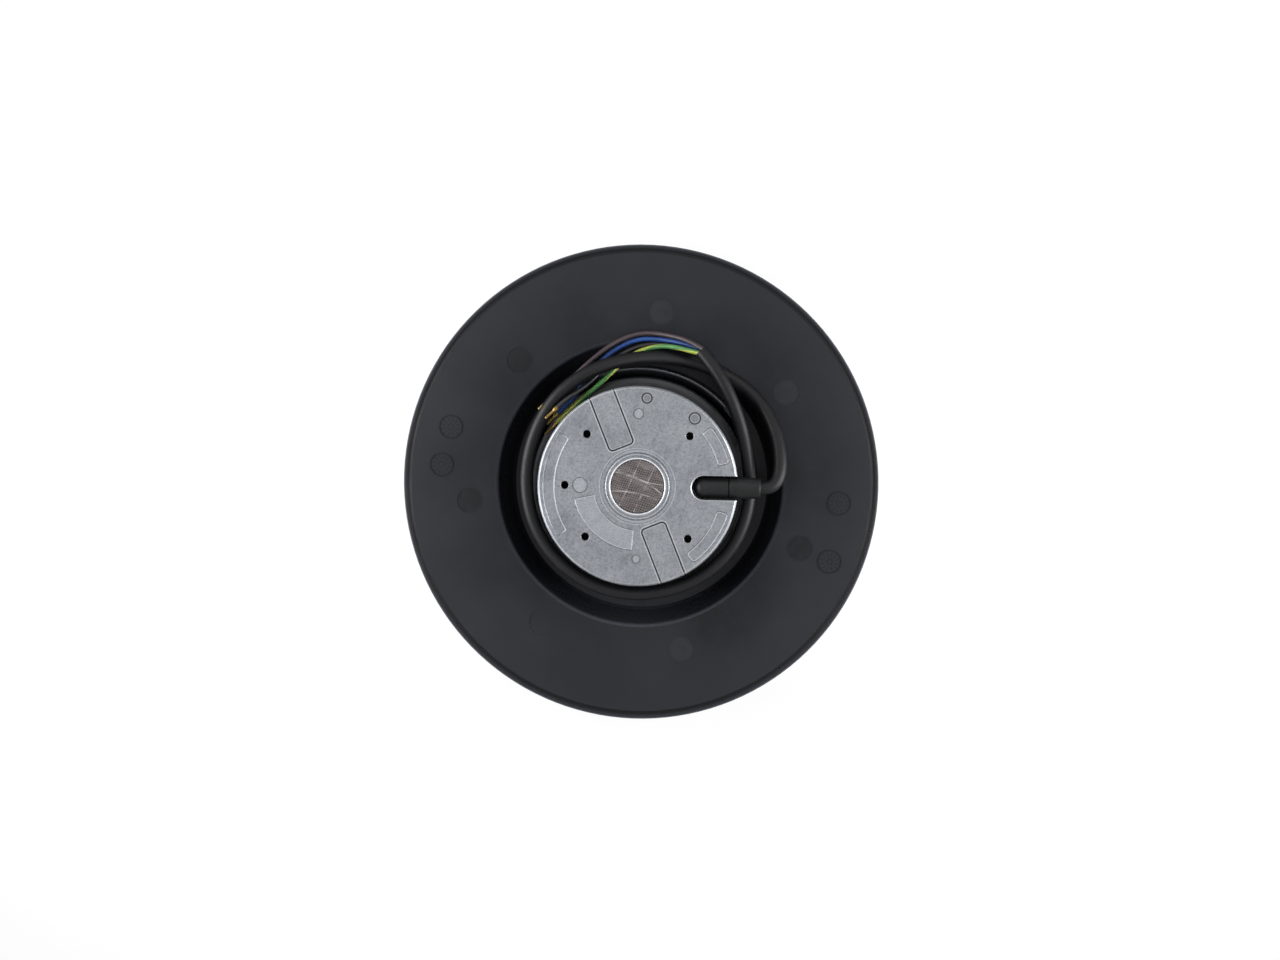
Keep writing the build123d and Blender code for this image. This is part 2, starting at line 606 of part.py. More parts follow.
def preload_washer():
    """Dished spring washer between the lower bearing and the tube's shoulder."""
    low = LOW_BEARING_Z + BEARING_H + SEAT_GAP
    r_in, r_out = BEARING_R - WASHER_W, BEARING_R - FREE_GAP
    half = WASHER_T / 2
    return turned([(r_in, low + half), (r_out, low), (r_out, low + half), (r_in, low + WASHER_T)])


def stator_section():
    """Cross-section of the slotted stator laminations."""
    section = Circle(STATOR_R) - Circle(STATOR_BORE_R)
    for i in range(SLOT_COUNT):
        turn = Rot(0, 0, 360 * (i + 0.5) / SLOT_COUNT)
        root, top = SLOT_WIDTH / 3, SLOT_WIDTH / 2
        corners = [(SLOT_ROOT_R, -root), (SLOT_TOP_R, -top), (SLOT_TOP_R, top), (SLOT_ROOT_R, root)]
        slot = make_face(Polyline(corners, close=True))
        mouth = Pos(STATOR_R, 0) * Rectangle(2 * SLOT_TIP + 1, SLOT_MOUTH)
        section -= turn * slot
        section -= turn * mouth
    return section


def stator_core():
    """Slotted lamination stack pressed on the bearing tube."""
    return Pos(0, 0, STACK_LOW_Z) * extrude(stator_section(), STACK_HIGH_Z - STACK_LOW_Z)


def insulator(low):
    """Plastic end plate between the laminations and the coil ends."""
    plate = tube_ring(INSULATOR_IN_R, INSULATOR_IN_R + INSULATOR_RING_W, low, low + INSULATOR_T)
    arm = Box(INSULATOR_ARM_L, INSULATOR_ARM_W, INSULATOR_T)
    arm = Pos(INSULATOR_IN_R + INSULATOR_ARM_L / 2, 0, low + INSULATOR_T / 2) * arm
    for i in range(SLOT_COUNT):
        plate += Rot(0, 0, 360 * i / SLOT_COUNT) * arm
    return plate


def coils(ring_r, first_angle, rise):
    """One winding: coils with straight legs in the slots and arched ends outside."""
    made = []
    low = STACK_LOW_Z - INSULATOR_T - rise
    high = STACK_HIGH_Z + INSULATOR_T + rise
    end_h = rise - 2 * FREE_GAP
    for i in range(COIL_COUNT):
        middle = first_angle + 360 * i / COIL_COUNT
        legs = []
        for side in (-1, 1):
            leg = Pos(ring_r, 0, (low + high) / 2) * Box(COIL_LEG, COIL_W, high - low)
            legs.append(Rot(0, 0, middle + side * COIL_SPAN) * leg)
        reach = COIL_SPAN + COIL_REACH
        r_in, r_out = ring_r - COIL_LEG / 2, ring_r + COIL_LEG / 2
        top = sector(r_in, r_out, middle - reach, middle + reach, high - end_h, end_h)
        foot = sector(r_in, r_out, middle - reach, middle + reach, low, end_h)
        made.append(top + foot + legs)
    return Compound(made)


def thermal_protector():
    """Small thermal switch lying on the coil ends, inside the flange's neck."""
    length, width, height = PROTECTOR
    top = STACK_HIGH_Z + INSULATOR_T + COIL_RISE + SEAT_GAP
    block = fillet(Box(width, length, height).edges().filter_by(Axis.Z), 1.0)
    return Pos(NECK_IN_R - PROTECTOR_GAP - width / 2, 0, top + height / 2) * block


def stator_flange():
    """Die-cast mounting flange with its bearing tube, neck, holes and face details."""
    tube_seat_r = BEARING_R + RUN_GAP / 2
    washer_z = LOW_BEARING_Z + BEARING_H + SEAT_GAP + WASHER_T + SEAT_GAP
    section = [
        (FLANGE_R - FLANGE_CHAMFER, FACE_Z),
        (FLANGE_R, FACE_Z - FLANGE_CHAMFER),
        (FLANGE_R + 0.15, FLANGE_LOW_Z + 1),
        (FLANGE_R - 0.8, FLANGE_LOW_Z),
        (NECK_R, FLANGE_LOW_Z),
        (NECK_R, NECK_LOW_Z),
        (NECK_IN_R, NECK_LOW_Z),
        (NECK_IN_R, FLANGE_LOW_Z),
        (CAVITY_OUT_R, FLANGE_LOW_Z),
        (CAVITY_OUT_R - 0.5, FLANGE_LOW_Z + CAVITY_DEPTH),
        (CAVITY_IN_R, FLANGE_LOW_Z + CAVITY_DEPTH),
        (CAVITY_IN_R - 0.8, FLANGE_LOW_Z),
        (TUBE_R + 1.8, STACK_HIGH_Z + 4),
        (TUBE_R, STACK_HIGH_Z + 2),
        (TUBE_R, TUBE_LOW_Z + 0.5),
        (TUBE_R - 0.5, TUBE_LOW_Z),
        (tube_seat_r, TUBE_LOW_Z),
        (tube_seat_r, washer_z),
        (TUBE_BORE_R, washer_z),
        (TUBE_BORE_R, HIGH_BEARING_Z - SEAT_GAP),
        (tube_seat_r, HIGH_BEARING_Z - SEAT_GAP),
        (tube_seat_r, FACE_Z - CAP_DROP - CAP_T - SEAT_GAP),
        (CAP_R + SEAT_GAP, FACE_Z - CAP_DROP - CAP_T - SEAT_GAP),
        (CAP_R + SEAT_GAP, FACE_Z - 0.3),
        (CAP_R + 0.35, FACE_Z),
        (COLLAR_STEP_R - 1, FACE_Z),
        (COLLAR_STEP_R - 0.7, FACE_Z - 0.25),
        (COLLAR_STEP_R, FACE_Z - 0.25),
        (COLLAR_STEP_R + 0.3, FACE_Z - COLLAR_GROOVE),
        (COLLAR_OUT_R - 0.2, FACE_Z - COLLAR_GROOVE),
        (COLLAR_OUT_R, FACE_Z),
    ]
    body = turned(section)
    for angle in BOLT_ANGLES:
        x, y = polar(BOLT_CIRCLE_R, angle)
        body += post(CAVITY_BOSS_R, FLANGE_LOW_Z, FLANGE_LOW_Z + CAVITY_DEPTH + 0.5, x, y)
    channel_low = SLEEVE_Z - SLEEVE_R - SEAT_GAP
    block = Box(CAVITY_OUT_R - SLOT_END_R + 2, CHANNEL_W + 2 * CHANNEL_RIB, FLANGE_T - 2)
    body += Pos((SLOT_END_R + CAVITY_OUT_R) / 2, 0, FACE_Z - FLANGE_T / 2 - 1) * block
    end_x, outer = SLOT_END_R + CHANNEL_W / 2, FLANGE_R + 2
    height = FACE_Z - channel_low
    mouth = Pos((end_x + outer) / 2, 0) * Rectangle(outer - end_x, CHANNEL_W)
    channel = mouth + Pos(end_x, 0) * Circle(CHANNEL_W / 2)
    body -= Pos(0, 0, channel_low) * extrude(channel, height + 1)
    body -= Pos(0, 0, FACE_Z - CHANNEL_LEAD) * extrude(channel, 2 * CHANNEL_LEAD, taper=-CAST_DRAFT)
    body -= post(LEAD_HOLE_R, FLANGE_LOW_Z - 1, channel_low + 1, end_x)
    lead_align = (Align.CENTER, Align.CENTER, Align.MAX)
    lead = Cone(BOLT_CORE_R, BOLT_MOUTH_R, BOLT_MOUTH_R - BOLT_CORE_R, align=lead_align)
    for angle in BOLT_ANGLES:
        x, y = polar(BOLT_CIRCLE_R, angle)
        body -= post(BOLT_CORE_R, FACE_Z - BOLT_DEPTH, FACE_Z + 1, x, y)
        body -= Pos(x, y, FACE_Z) * lead
    groove_in_r = PAD_IN_R - PAD_GROOVE
    groove = RectangleRounded(outer - groove_in_r, PAD_W + 2 * PAD_GROOVE, PAD_ROUND + PAD_GROOVE)
    land = RectangleRounded(outer - PAD_IN_R, PAD_W, PAD_ROUND)
    frame = Pos((groove_in_r + outer) / 2, 0) * groove - Pos((PAD_IN_R + outer) / 2, 0) * land
    for angle in PAD_ANGLES:
        body -= Rot(0, 0, angle) * Pos(0, 0, FACE_Z - GROOVE_DEPTH) * extrude(frame, 2 * GROOVE_DEPTH)
    recess_low = FACE_Z - RECESS
    for start, end in RIM_RECESS_SPANS:
        walls = (RIM_RECESS_IN_R, RIM_RECESS_OUT_R, start, end)
        body -= sector(*walls, recess_low, 2 * RECESS, CAST_DRAFT, RIM_RECESS_ROUND)
    body -= sector(PLATE_IN_R, PLATE_OUT_R, *PLATE_SPAN, recess_low, 2 * RECESS, CAST_DRAFT)
    for r, angle, size in FACE_RINGS:
        x, y = polar(r, angle)
        ring = post(size, recess_low, FACE_Z + 1, x, y)
        body -= ring - post(size - FACE_RING_W, recess_low - 1, FACE_Z + 2, x, y)
    return body


def bearing_cap():
    """Pressed disc that closes the flange's centre bore."""
    low = FACE_Z - CAP_DROP - CAP_T
    return turned([
        (0, low), (CAP_R - 0.4, low), (CAP_R, low + 0.4), (CAP_R, low + CAP_T - 0.3),
        (CAP_R - 0.3, low + CAP_T), (0, low + CAP_T),
    ])


def cable_sleeve():
    """Rubber strain-relief sleeve with a round nose, lying in the flange's slot."""
    length = SLEEVE_END_X - SLEEVE_START_X
    band = SLEEVE_BAND_X - SLEEVE_START_X
    section = [
        (0, 0), (SLEEVE_R - 0.2, 0), (SLEEVE_R - 0.2, band - 0.5),
        (SLEEVE_R - 0.7, band), (SLEEVE_R, band + 0.6), (SLEEVE_R - 0.1, band + 4),
        (SLEEVE_TIP_R + 0.3, length - 0.8), (SLEEVE_TIP_R, length), (0, length),
    ]
    sleeve = turned(section)
    sleeve = fillet(sleeve.edges().group_by(Axis.Z)[0], SLEEVE_NOSE)
    return Pos(SLEEVE_START_X, 0, SLEEVE_Z) * Rot(0, 90, 0) * sleeve


def corner_radii(route):
    """The largest smooth radius at each corner: 0.45 of the shorter run."""
    points = [Vector(*p) for p in route]
    found = []
    for before, here, after in zip(points, points[1:], points[2:]):
        run_in, run_out = here - before, after - here
        half_turn = radians(run_in.get_angle(run_out)) / 2
        found.append(0.45 * min(run_in.length, run_out.length) / tan(half_turn))
    return found


def cord(name, route, r):
    """A round cord along a route, with straight runs joined by tangent arcs."""
    radii = corner_radii(route)
    line = FilletPolyline(*route, radius=radii)
    path = Wire(line.edges())
    profile = Plane(origin=path @ 0, z_dir=path % 0) * Circle(r)
    solid = sweep(profile, path)
    share = solid.volume / (pi * r * r * path.length)
    print(name, "length", round(path.length, 1), "volume share", round(share, 4))
    print("  radii", [round(x, 1) for x in radii])
    return solid


def ferrule(route):
    """Crimped brass ferrule on the end of a conductor, in line with its last run."""
    before, end = Vector(*route[-2]), Vector(*route[-1])
    section = [
        (0, 0), (FERRULE_COLLAR_R, 0), (FERRULE_COLLAR_R, FERRULE_COLLAR_LEN),
        (FERRULE_R, FERRULE_COLLAR_LEN + 0.6), (FERRULE_R, FERRULE_LEN - 0.4),
        (FERRULE_R - 0.4, FERRULE_LEN), (0, FERRULE_LEN),
    ]
    return Plane(origin=end, z_dir=(end - before)) * turned(section)


def write(name, shape):
    """Writes one sub-part."""
    export_step(shape, f"parts/{name}.step")


os.makedirs("parts", exist_ok=True)
write("impeller_disc", impeller_disc())
for number, blade in enumerate(blades(), start=1):
    write(f"blade_{number}", blade)
write("inlet_shroud", inlet_shroud())
write("balance_clip", balance_clip())
write("rotor_can", rotor_can())
write("hub_screws", hub_screws())
write("rotor_core", rotor_core())
write("squirrel_cage", squirrel_cage())
write("shaft", shaft())
write("shaft_clip", shaft_clip())
for place, height in (("lower", LOW_BEARING_Z), ("upper", HIGH_BEARING_Z)):
    write(f"{place}_bearing_outer_ring", bearing_outer_ring(height))
    write(f"{place}_bearing_inner_ring", bearing_inner_ring(height))
    write(f"{place}_bearing_balls", bearing_balls(height))
    write(f"{place}_bearing_shields", bearing_shields(height))
write("preload_washer", preload_washer())
write("stator_core", stator_core())
write("lower_insulator", insulator(STACK_LOW_Z - INSULATOR_T))
write("upper_insulator", insulator(STACK_HIGH_Z))
write("main_winding", coils(MAIN_COIL_R, 0, COIL_RISE))
write("auxiliary_winding", coils(AUX_COIL_R, 45, COIL_RISE))
write("thermal_protector", thermal_protector())
write("stator_flange", stator_flange())
write("bearing_cap", bearing_cap())
write("cable_sleeve", cable_sleeve())
write("mains_cable", cord("mains_cable", CABLE_ROUTE, CABLE_R))
for colour, route in CORE_ROUTES.items():
    write(f"{colour}_conductor", cord(f"{colour}_conductor", route, CORE_R))
    write(f"{colour}_ferrule", ferrule(route))
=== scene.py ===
"""Centrifugal fan lying on its inlet lip: cords, small metalwork, finishes, light and camera.

Everything is in metres, in the frame of the CAD parts: the spin axis is Z, the
inlet lip lies on Z = 0 and the cable's slot runs along +X. Angles on the disc are
in degrees from +X.
"""
from __future__ import annotations

import logging
import math
from dataclasses import dataclass, field
from enum import Enum
from typing import Any, Callable, Sequence

import bmesh
import bpy
from mathutils import Matrix, Vector

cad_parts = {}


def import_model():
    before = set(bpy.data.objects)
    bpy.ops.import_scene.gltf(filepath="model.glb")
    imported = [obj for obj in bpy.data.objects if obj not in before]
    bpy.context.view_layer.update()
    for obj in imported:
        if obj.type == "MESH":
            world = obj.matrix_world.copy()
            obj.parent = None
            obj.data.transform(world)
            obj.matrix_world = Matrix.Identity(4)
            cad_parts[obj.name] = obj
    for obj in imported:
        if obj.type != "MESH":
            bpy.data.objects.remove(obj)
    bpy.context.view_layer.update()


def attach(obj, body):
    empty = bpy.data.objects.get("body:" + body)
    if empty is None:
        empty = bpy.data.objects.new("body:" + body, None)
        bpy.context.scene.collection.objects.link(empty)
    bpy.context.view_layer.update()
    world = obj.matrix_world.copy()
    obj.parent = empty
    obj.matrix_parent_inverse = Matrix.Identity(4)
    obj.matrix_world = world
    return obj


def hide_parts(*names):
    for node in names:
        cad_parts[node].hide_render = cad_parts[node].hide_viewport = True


LOG = logging.getLogger("fan")
MM = 0.001
Point = tuple[float, float, float]


class Body(str, Enum):
    """The two bodies of the fan, named as the joints name them."""

    STATOR = "stator"
    IMPELLER = "impeller"


class Lay(str, Enum):
    """How stiff a cord is."""

    LIMP = "limp"
    MEDIUM = "medium"
    STIFF = "stiff"


# Colour and node helpers


def linear(code: str) -> tuple[float, float, float, float]:
    """Turn an sRGB hex colour into the linear colour a shader expects.

    Args:
        code: Six hex digits, with or without a leading hash.

    Returns:
        Red, green, blue and an alpha of one.
    """
    digits = code.lstrip("#")
    channels = []
    for start in (0, 2, 4):
        value = int(digits[start:start + 2], 16) / 255
        channels.append(value / 12.92 if value <= 0.04045 else ((value + 0.055) / 1.055) ** 2.4)
    return (channels[0], channels[1], channels[2], 1.0)


def per_metre(size_mm: float) -> float:
    """Texture scale that gives a pattern this many millimetres across."""
    return 1.0 / (size_mm * MM)


class Graph:
    """A material's node tree, with one way to add to it."""

    def __init__(self, name: str) -> None:
        """Start an empty material.

        Args:
            name: The material's name.
        """
        self.material = bpy.data.materials.new(name)
        self.material.use_nodes = True
        self.tree = self.material.node_tree
        self.tree.nodes.clear()
        self.place = self.add("ShaderNodeTexCoord").outputs["Object"]

    def add(self, kind: str, settings: dict[str, Any] | None = None, **inputs: Any) -> bpy.types.Node:
        """Add a node, set it and link it.

        Args:
            kind: Blender's name of the node type.
            settings: Properties of the node itself.
            inputs: Values or output sockets by input name, with underscores for
                spaces, or in{number} for an input that only its place tells apart.

        Returns:
            The new node.
        """
        node = self.tree.nodes.new(kind)
        for key, value in (settings or {}).items():
            setattr(node, key, value)
        for key, value in inputs.items():
            index: int | str = int(key[2:]) if key[:2] == "in" and key[2:].isdigit() else key.replace("_", " ")
            socket = node.inputs[index]
            if isinstance(value, bpy.types.NodeSocket):
                self.tree.links.new(value, socket)
            else:
                socket.default_value = value
        return node

    def noise(self, size_mm: float, detail: float = 3.0, rough: float = 0.5,
              place: bpy.types.NodeSocket | None = None) -> bpy.types.NodeSocket:
        """Soft random pattern of one real size.

        Args:
            size_mm: Size of the pattern's largest features.
            detail: Octaves of finer features.
            rough: How strong the finer features are.
            place: Coordinates to read, or None for the object's own.

        Returns:
            The pattern, from 0 to 1.
        """
        vector = place or self.place
        node = self.add("ShaderNodeTexNoise", Vector=vector, Scale=per_metre(size_mm), Detail=detail,
                        Roughness=rough)
        return node.outputs["Fac"]

    def spread(self, value: Any, low: float, high: float, to_low: float = 0.0,
               to_high: float = 1.0) -> bpy.types.NodeSocket:
        """Stretch a range of a pattern to another range, clamped.

        Args:
            value: The pattern.
            low: Where the range starts.
            high: Where it ends.
            to_low: What the start becomes.
            to_high: What the end becomes.

        Returns:
            The stretched pattern.
        """
        node = self.add("ShaderNodeMapRange", Value=value, From_Min=low, From_Max=high, To_Min=to_low,
                        To_Max=to_high)
        return node.outputs["Result"]

    def maths(self, operation: str, first: Any, second: Any = 0.0) -> bpy.types.NodeSocket:
        """One sum of two numbers.

        Args:
            operation: Blender's name of the operation.
            first: A number or a socket.
            second: A number or a socket.

        Returns:
            The result.
        """
        return self.add("ShaderNodeMath", {"operation": operation}, in0=first, in1=second).outputs[0]

    def blend(self, share: Any, first: Any, second: Any) -> bpy.types.NodeSocket:
        """Mix two colours.

        Args:
            share: How much of the second shows.
            first: A linear colour or a socket.
            second: A linear colour or a socket.

        Returns:
            The mixed colour.
        """
        node = self.add("ShaderNodeMix", {"data_type": "RGBA"}, in0=share, in6=first, in7=second)
        return node.outputs[2]

    def radius(self) -> bpy.types.NodeSocket:
        """Distance from the spin axis, in millimetres."""
        flat = self.add("ShaderNodeVectorMath", {"operation": "MULTIPLY"}, in0=self.place, in1=(1000, 1000, 0))
        return self.add("ShaderNodeVectorMath", {"operation": "LENGTH"}, in0=flat.outputs[0]).outputs["Value"]

    def height(self) -> bpy.types.NodeSocket:
        """Height above the inlet lip, in millimetres."""
        parts = self.add("ShaderNodeSeparateXYZ", Vector=self.place)
        return self.maths("MULTIPLY", parts.outputs["Z"], 1000.0)

    def axes(self, turn: float = 0.0) -> tuple[bpy.types.NodeSocket, bpy.types.NodeSocket]:
        """X and Y in millimetres, with X turned to stand at this many degrees."""
        turned = self.add("ShaderNodeVectorRotate", {"rotation_type": "Z_AXIS"}, Vector=self.place,
                          Angle=math.radians(-turn))
        parts = self.add("ShaderNodeSeparateXYZ", Vector=turned.outputs[0])
        return self.maths("MULTIPLY", parts.outputs["X"], 1000.0), self.maths("MULTIPLY", parts.outputs["Y"], 1000.0)

    def rounded(self, x: Any, y: Any, half_x: float, half_y: float, corner: float) -> bpy.types.NodeSocket:
        """Distance outside a box with round corners, below nought inside it.

        Args:
            x: Place across, counted from the box's middle.
            y: Place along, counted from the box's middle.
            half_x: Half the box's width.
            half_y: Half the box's length.
            corner: Radius of its corners.

        Returns:
            The distance, in the unit of the places.
        """
        over_x = self.maths("SUBTRACT", self.maths("ABSOLUTE", x), half_x - corner)
        over_y = self.maths("SUBTRACT", self.maths("ABSOLUTE", y), half_y - corner)
        past = self.add("ShaderNodeCombineXYZ", X=self.maths("MAXIMUM", over_x), Y=self.maths("MAXIMUM", over_y))
        outside = self.add("ShaderNodeVectorMath", {"operation": "LENGTH"}, in0=past.outputs[0]).outputs["Value"]
        inside = self.maths("MINIMUM", self.maths("MAXIMUM", over_x, over_y))
        return self.maths("SUBTRACT", self.maths("ADD", outside, inside), corner)

    def between(self, value: Any, low: float, high: float, soft: float = 0.1) -> bpy.types.NodeSocket:
        """Mask of where a value lies between two limits, with soft edges.

        Args:
            value: The value.
            low: The lower limit.
            high: The upper limit.
            soft: Half the width of each edge.

        Returns:
            One between the limits and nought elsewhere.
        """
        rise = self.spread(value, low - soft, low + soft)
        return self.maths("MULTIPLY", rise, self.spread(value, high - soft, high + soft, 1.0, 0.0))

    def away(self, centre: Point) -> bpy.types.NodeSocket:
        """Distance from a point given in millimetres, in millimetres and measured level."""
        x, y = self.axes()
        offset = self.add("ShaderNodeCombineXYZ", X=self.maths("SUBTRACT", x, centre[0]),
                          Y=self.maths("SUBTRACT", y, centre[1]))
        return self.add("ShaderNodeVectorMath", {"operation": "LENGTH"}, in0=offset.outputs[0]).outputs["Value"]

    def over(self, colour: Any, mask: Any, share: float, tone: str) -> bpy.types.NodeSocket:
        """Lay a tone over a colour where a mask says, at a share of its strength."""
        return self.blend(self.maths("MULTIPLY", mask, share), colour, linear(tone))

    def stretched(self, scale: Point, turn: float = 0.0) -> bpy.types.NodeSocket:
        """Object coordinates squeezed along its axes, for drawn-out patterns.

        Args:
            scale: Factor along each axis.
            turn: Turn about Z in degrees, made before the squeeze.

        Returns:
            The new coordinates.
        """
        turned = self.add("ShaderNodeVectorRotate", {"rotation_type": "Z_AXIS"}, Vector=self.place,
                          Angle=math.radians(turn))
        node = self.add("ShaderNodeVectorMath", {"operation": "MULTIPLY"}, in0=turned.outputs[0], in1=scale)
        return node.outputs[0]

    def bump(self, pattern: Any, depth_mm: float, strength: float = 1.0,
             under: bpy.types.NodeSocket | None = None) -> bpy.types.NodeSocket:
        """Relief of a real depth.

        Args:
            pattern: Height from 0 to 1.
            depth_mm: Height of the relief at 1.
            strength: Share of the relief that shows.
            under: A coarser relief that this one lies on.

        Returns:
            The bent normal.
        """
        inputs: dict[str, Any] = {"Height": pattern, "Distance": depth_mm * MM, "Strength": strength}
        if under is not None:
            inputs["Normal"] = under
        return self.add("ShaderNodeBump", **inputs).outputs["Normal"]

    def surface(self, **inputs: Any) -> bpy.types.Material:
        """Close the material with its shader.

        Args:
            inputs: Values or sockets of the Principled shader by input name.

        Returns:
            The finished material.
        """
        shader = self.add("ShaderNodeBsdfPrincipled", **inputs)
        self.add("ShaderNodeOutputMaterial", Surface=shader.outputs["BSDF"])
        return self.material


# Finishes


@dataclass(frozen=True)
class MouldedPlastic:
    """Injection-moulded plastic: cloudy tone, faint flow and a fine grained skin."""

    name: str
    tone: str
    cloud: str
    gloss: float = 0.46
    specular: float = 0.16
    grain_mm: float = 0.35

    def make(self) -> bpy.types.Material:
        """Build the material."""
        g = Graph(self.name)
        # Slow clouds from the way the melt filled the mould.
        cloud = g.spread(g.noise(38.0, 2.0, 0.45), 0.36, 0.66)
        patch = g.spread(g.noise(9.0, 4.0, 0.6), 0.35, 0.7, 0.0, 0.35)
        colour = g.blend(cloud, linear(self.tone), linear(self.cloud))
        colour = g.blend(patch, colour, linear(self.tone))
        # The skin's roughness wanders with the clouds, so its sheen is never even.
        rough = g.maths("ADD", g.spread(g.noise(22.0, 3.0), 0.3, 0.7, -0.05, 0.06), self.gloss)
        skin = g.bump(g.noise(self.grain_mm, 2.0), 0.012, 0.35)
        waves = g.bump(g.noise(14.0, 1.0), 0.05, 0.5, skin)
        return g.surface(Base_Color=colour, Roughness=rough, Normal=waves, Specular_IOR_Level=self.specular)


@dataclass(frozen=True)
class DiscPlastic:
    """The impeller's plastic: matt on the flat disc and polished in the bowl, whose tone is painted paler as painted
    fill light.
    """

    name: str
    tone: str
    cloud: str
    bowl: str
    lip_mm: float = 67.0
    rim_mm: float = 112.5
    collar_mm: float = 54.5
    collar_top_mm: float = 79.0
    gloss: float = 0.46
    bowl_gloss: float = 0.27
    specular: float = 0.16
    mark_circle_mm: float = 81.5
    mark_mm: float = 6.0
    pale_marks: Sequence[float] = (84.0, 33.0, 285.0)
    dark_marks: Sequence[float] = (135.5, 187.0, 339.0)
    # Tone of the painted sheen that pales the flat towards the rim.
    rim_sheen: str = "222327"
    clocks: Sequence[tuple[float, float]] = ((93.9, 164.6), (94.9, 175.8), (97.1, -21.3), (94.6, -4.6))
    clock_mm: float = 5.7
    ticks: int = 12

    def make(self) -> bpy.types.Material:
        """Build the material."""
        g = Graph(self.name)
        out = g.radius()
        in_bowl = g.spread(out, self.lip_mm - 1.0, self.lip_mm + 0.6, 1.0, 0.0)
        # Cloudy tone on the flat, with rubbed patches a few millimetres across.
        cloud = g.spread(g.noise(42.0, 2.0, 0.45), 0.36, 0.66)
        flat = g.blend(cloud, linear(self.tone), linear(self.cloud))
        rub = g.spread(g.noise(5.0, 5.0, 0.65), 0.5, 0.78, 0.0, 0.5)
        flat = g.blend(rub, flat, linear(self.cloud))
        # The ejector pins leave round spots, some paler and some darker than the skin.
        flat = g.blend(self.spots(g, self.pale_marks), flat, linear("25272b"))
        flat = g.blend(self.spots(g, self.dark_marks), flat, linear("0b0c0e"))
        # The flat is painted paler towards the rim, a painted sheen from the side light, and painted highlights run
        # along the bowl's lip and the rim's edge.
        flat = g.over(flat, g.spread(out, 76.0, 108.0), 0.75, self.rim_sheen)
        # Painted highlight along the bowl's lip.
        flat = g.over(flat, g.between(out, self.lip_mm + 0.1, self.lip_mm + 1.7, 0.3), 0.9, "303238")
        # Painted highlight along the disc's outer edge, where a rounded edge would catch the side light.
        flat = g.over(flat, g.spread(out, self.rim_mm - 0.7, self.rim_mm - 0.4), 0.9, "4c4e54")
        flat = self.draw_clocks(g, flat)
        # Painted shade darkens the groove beside the rim's bead.
        groove_shade = g.maths("MULTIPLY", g.spread(out, self.rim_mm - 3.9, self.rim_mm - 3.3),
                         g.spread(out, self.rim_mm - 2.0, self.rim_mm - 1.4, 1.0, 0.0))
        flat = g.blend(g.maths("MULTIPLY", groove_shade, 0.8), flat, linear("050506"))
        # The bowl's colour is painted paler than the flat's base tone, painted fill light for the deep, shaded bowl.
        colour = g.blend(in_bowl, flat, linear(self.bowl))
        # A painted highlight runs as a thin pale line along the collar's rim.
        rim = g.maths("MULTIPLY", g.between(out, self.collar_mm - 0.45, self.collar_mm + 0.1),
                      g.spread(g.height(), self.collar_top_mm - 0.6, self.collar_top_mm - 0.3))
        colour = g.over(colour, rim, 0.8, "6a6b70")
        base = g.spread(in_bowl, 0.0, 1.0, self.gloss, self.bowl_gloss)
        rough = g.maths("ADD", base, g.spread(g.noise(18.0, 4.0), 0.3, 0.7, -0.05, 0.07))
        # Fine eroded grain on the flat and very faint turning marks round the axis.
        grain = g.maths("MULTIPLY", g.noise(0.35, 2.0), g.spread(in_bowl, 0.0, 1.0, 1.0, 0.25))
        skin = g.bump(grain, 0.012, 0.35)
        rings = g.bump(g.spread(g.maths("SINE", g.maths("MULTIPLY", out, 5.2)), -1.0, 1.0), 0.004, 0.3, skin)
        waves = g.bump(g.noise(16.0, 1.0), 0.06, 0.5, rings)
        return g.surface(Base_Color=colour, Roughness=rough, Normal=waves, Specular_IOR_Level=self.specular)

    def draw_clocks(self, g: Graph, colour: Any) -> Any:
        """Darken the ring and the plain ticks of each moulded date clock.

        Args:
            g: The material's nodes.
            colour: The colour so far.

        Returns:
            The new colour.
        """
        for r, angle in self.clocks:
            turn = math.radians(angle)
            x, y = g.axes()
            x = g.maths("SUBTRACT", x, r * math.cos(turn))
            y = g.maths("SUBTRACT", y, r * math.sin(turn))
            spot = g.add("ShaderNodeCombineXYZ", X=x, Y=y)
            off = g.add("ShaderNodeVectorMath", {"operation": "LENGTH"}, in0=spot.outputs[0]).outputs["Value"]
            share = g.maths("MULTIPLY", g.maths("ARCTAN2", y, x), self.ticks / (2 * math.pi))
            tick = g.spread(g.maths("ABSOLUTE", g.maths("SUBTRACT", g.maths("FRACT", share), 0.5)), 0.12, 0.2, 1.0, 0.0)
            marks = g.maths("MULTIPLY", tick, g.between(off, 2.4, 4.4))
            ring = g.maths("MAXIMUM", g.between(off, self.clock_mm - 0.7, self.clock_mm), g.between(off, 1.0, 1.6))
            colour = g.over(colour, g.maths("MAXIMUM", ring, marks), 0.6, "0a0b0c")
        return colour

    def spots(self, g: Graph, angles: Sequence[float]) -> bpy.types.NodeSocket:
        """Mask of round marks on one circle.

        Args:
            g: The material's nodes.
            angles: Where the marks stand, in degrees.

        Returns:
            One on the marks, with soft uneven edges, and nought elsewhere.
        """
        total: Any = 0.0
        for angle in angles:
            turn = math.radians(angle)
            centre = (self.mark_circle_mm * MM * math.cos(turn), self.mark_circle_mm * MM * math.sin(turn), 0.071)
            away = g.add("ShaderNodeVectorMath", {"operation": "DISTANCE"}, in0=g.place, in1=centre)
            near = g.spread(away.outputs["Value"], (self.mark_mm - 0.6) * MM, (self.mark_mm + 0.5) * MM, 1.0, 0.0)
            total = g.maths("MAXIMUM", near, total)
        return g.maths("MULTIPLY", total, g.spread(g.noise(4.0, 3.0), 0.3, 0.6, 0.35, 0.8))


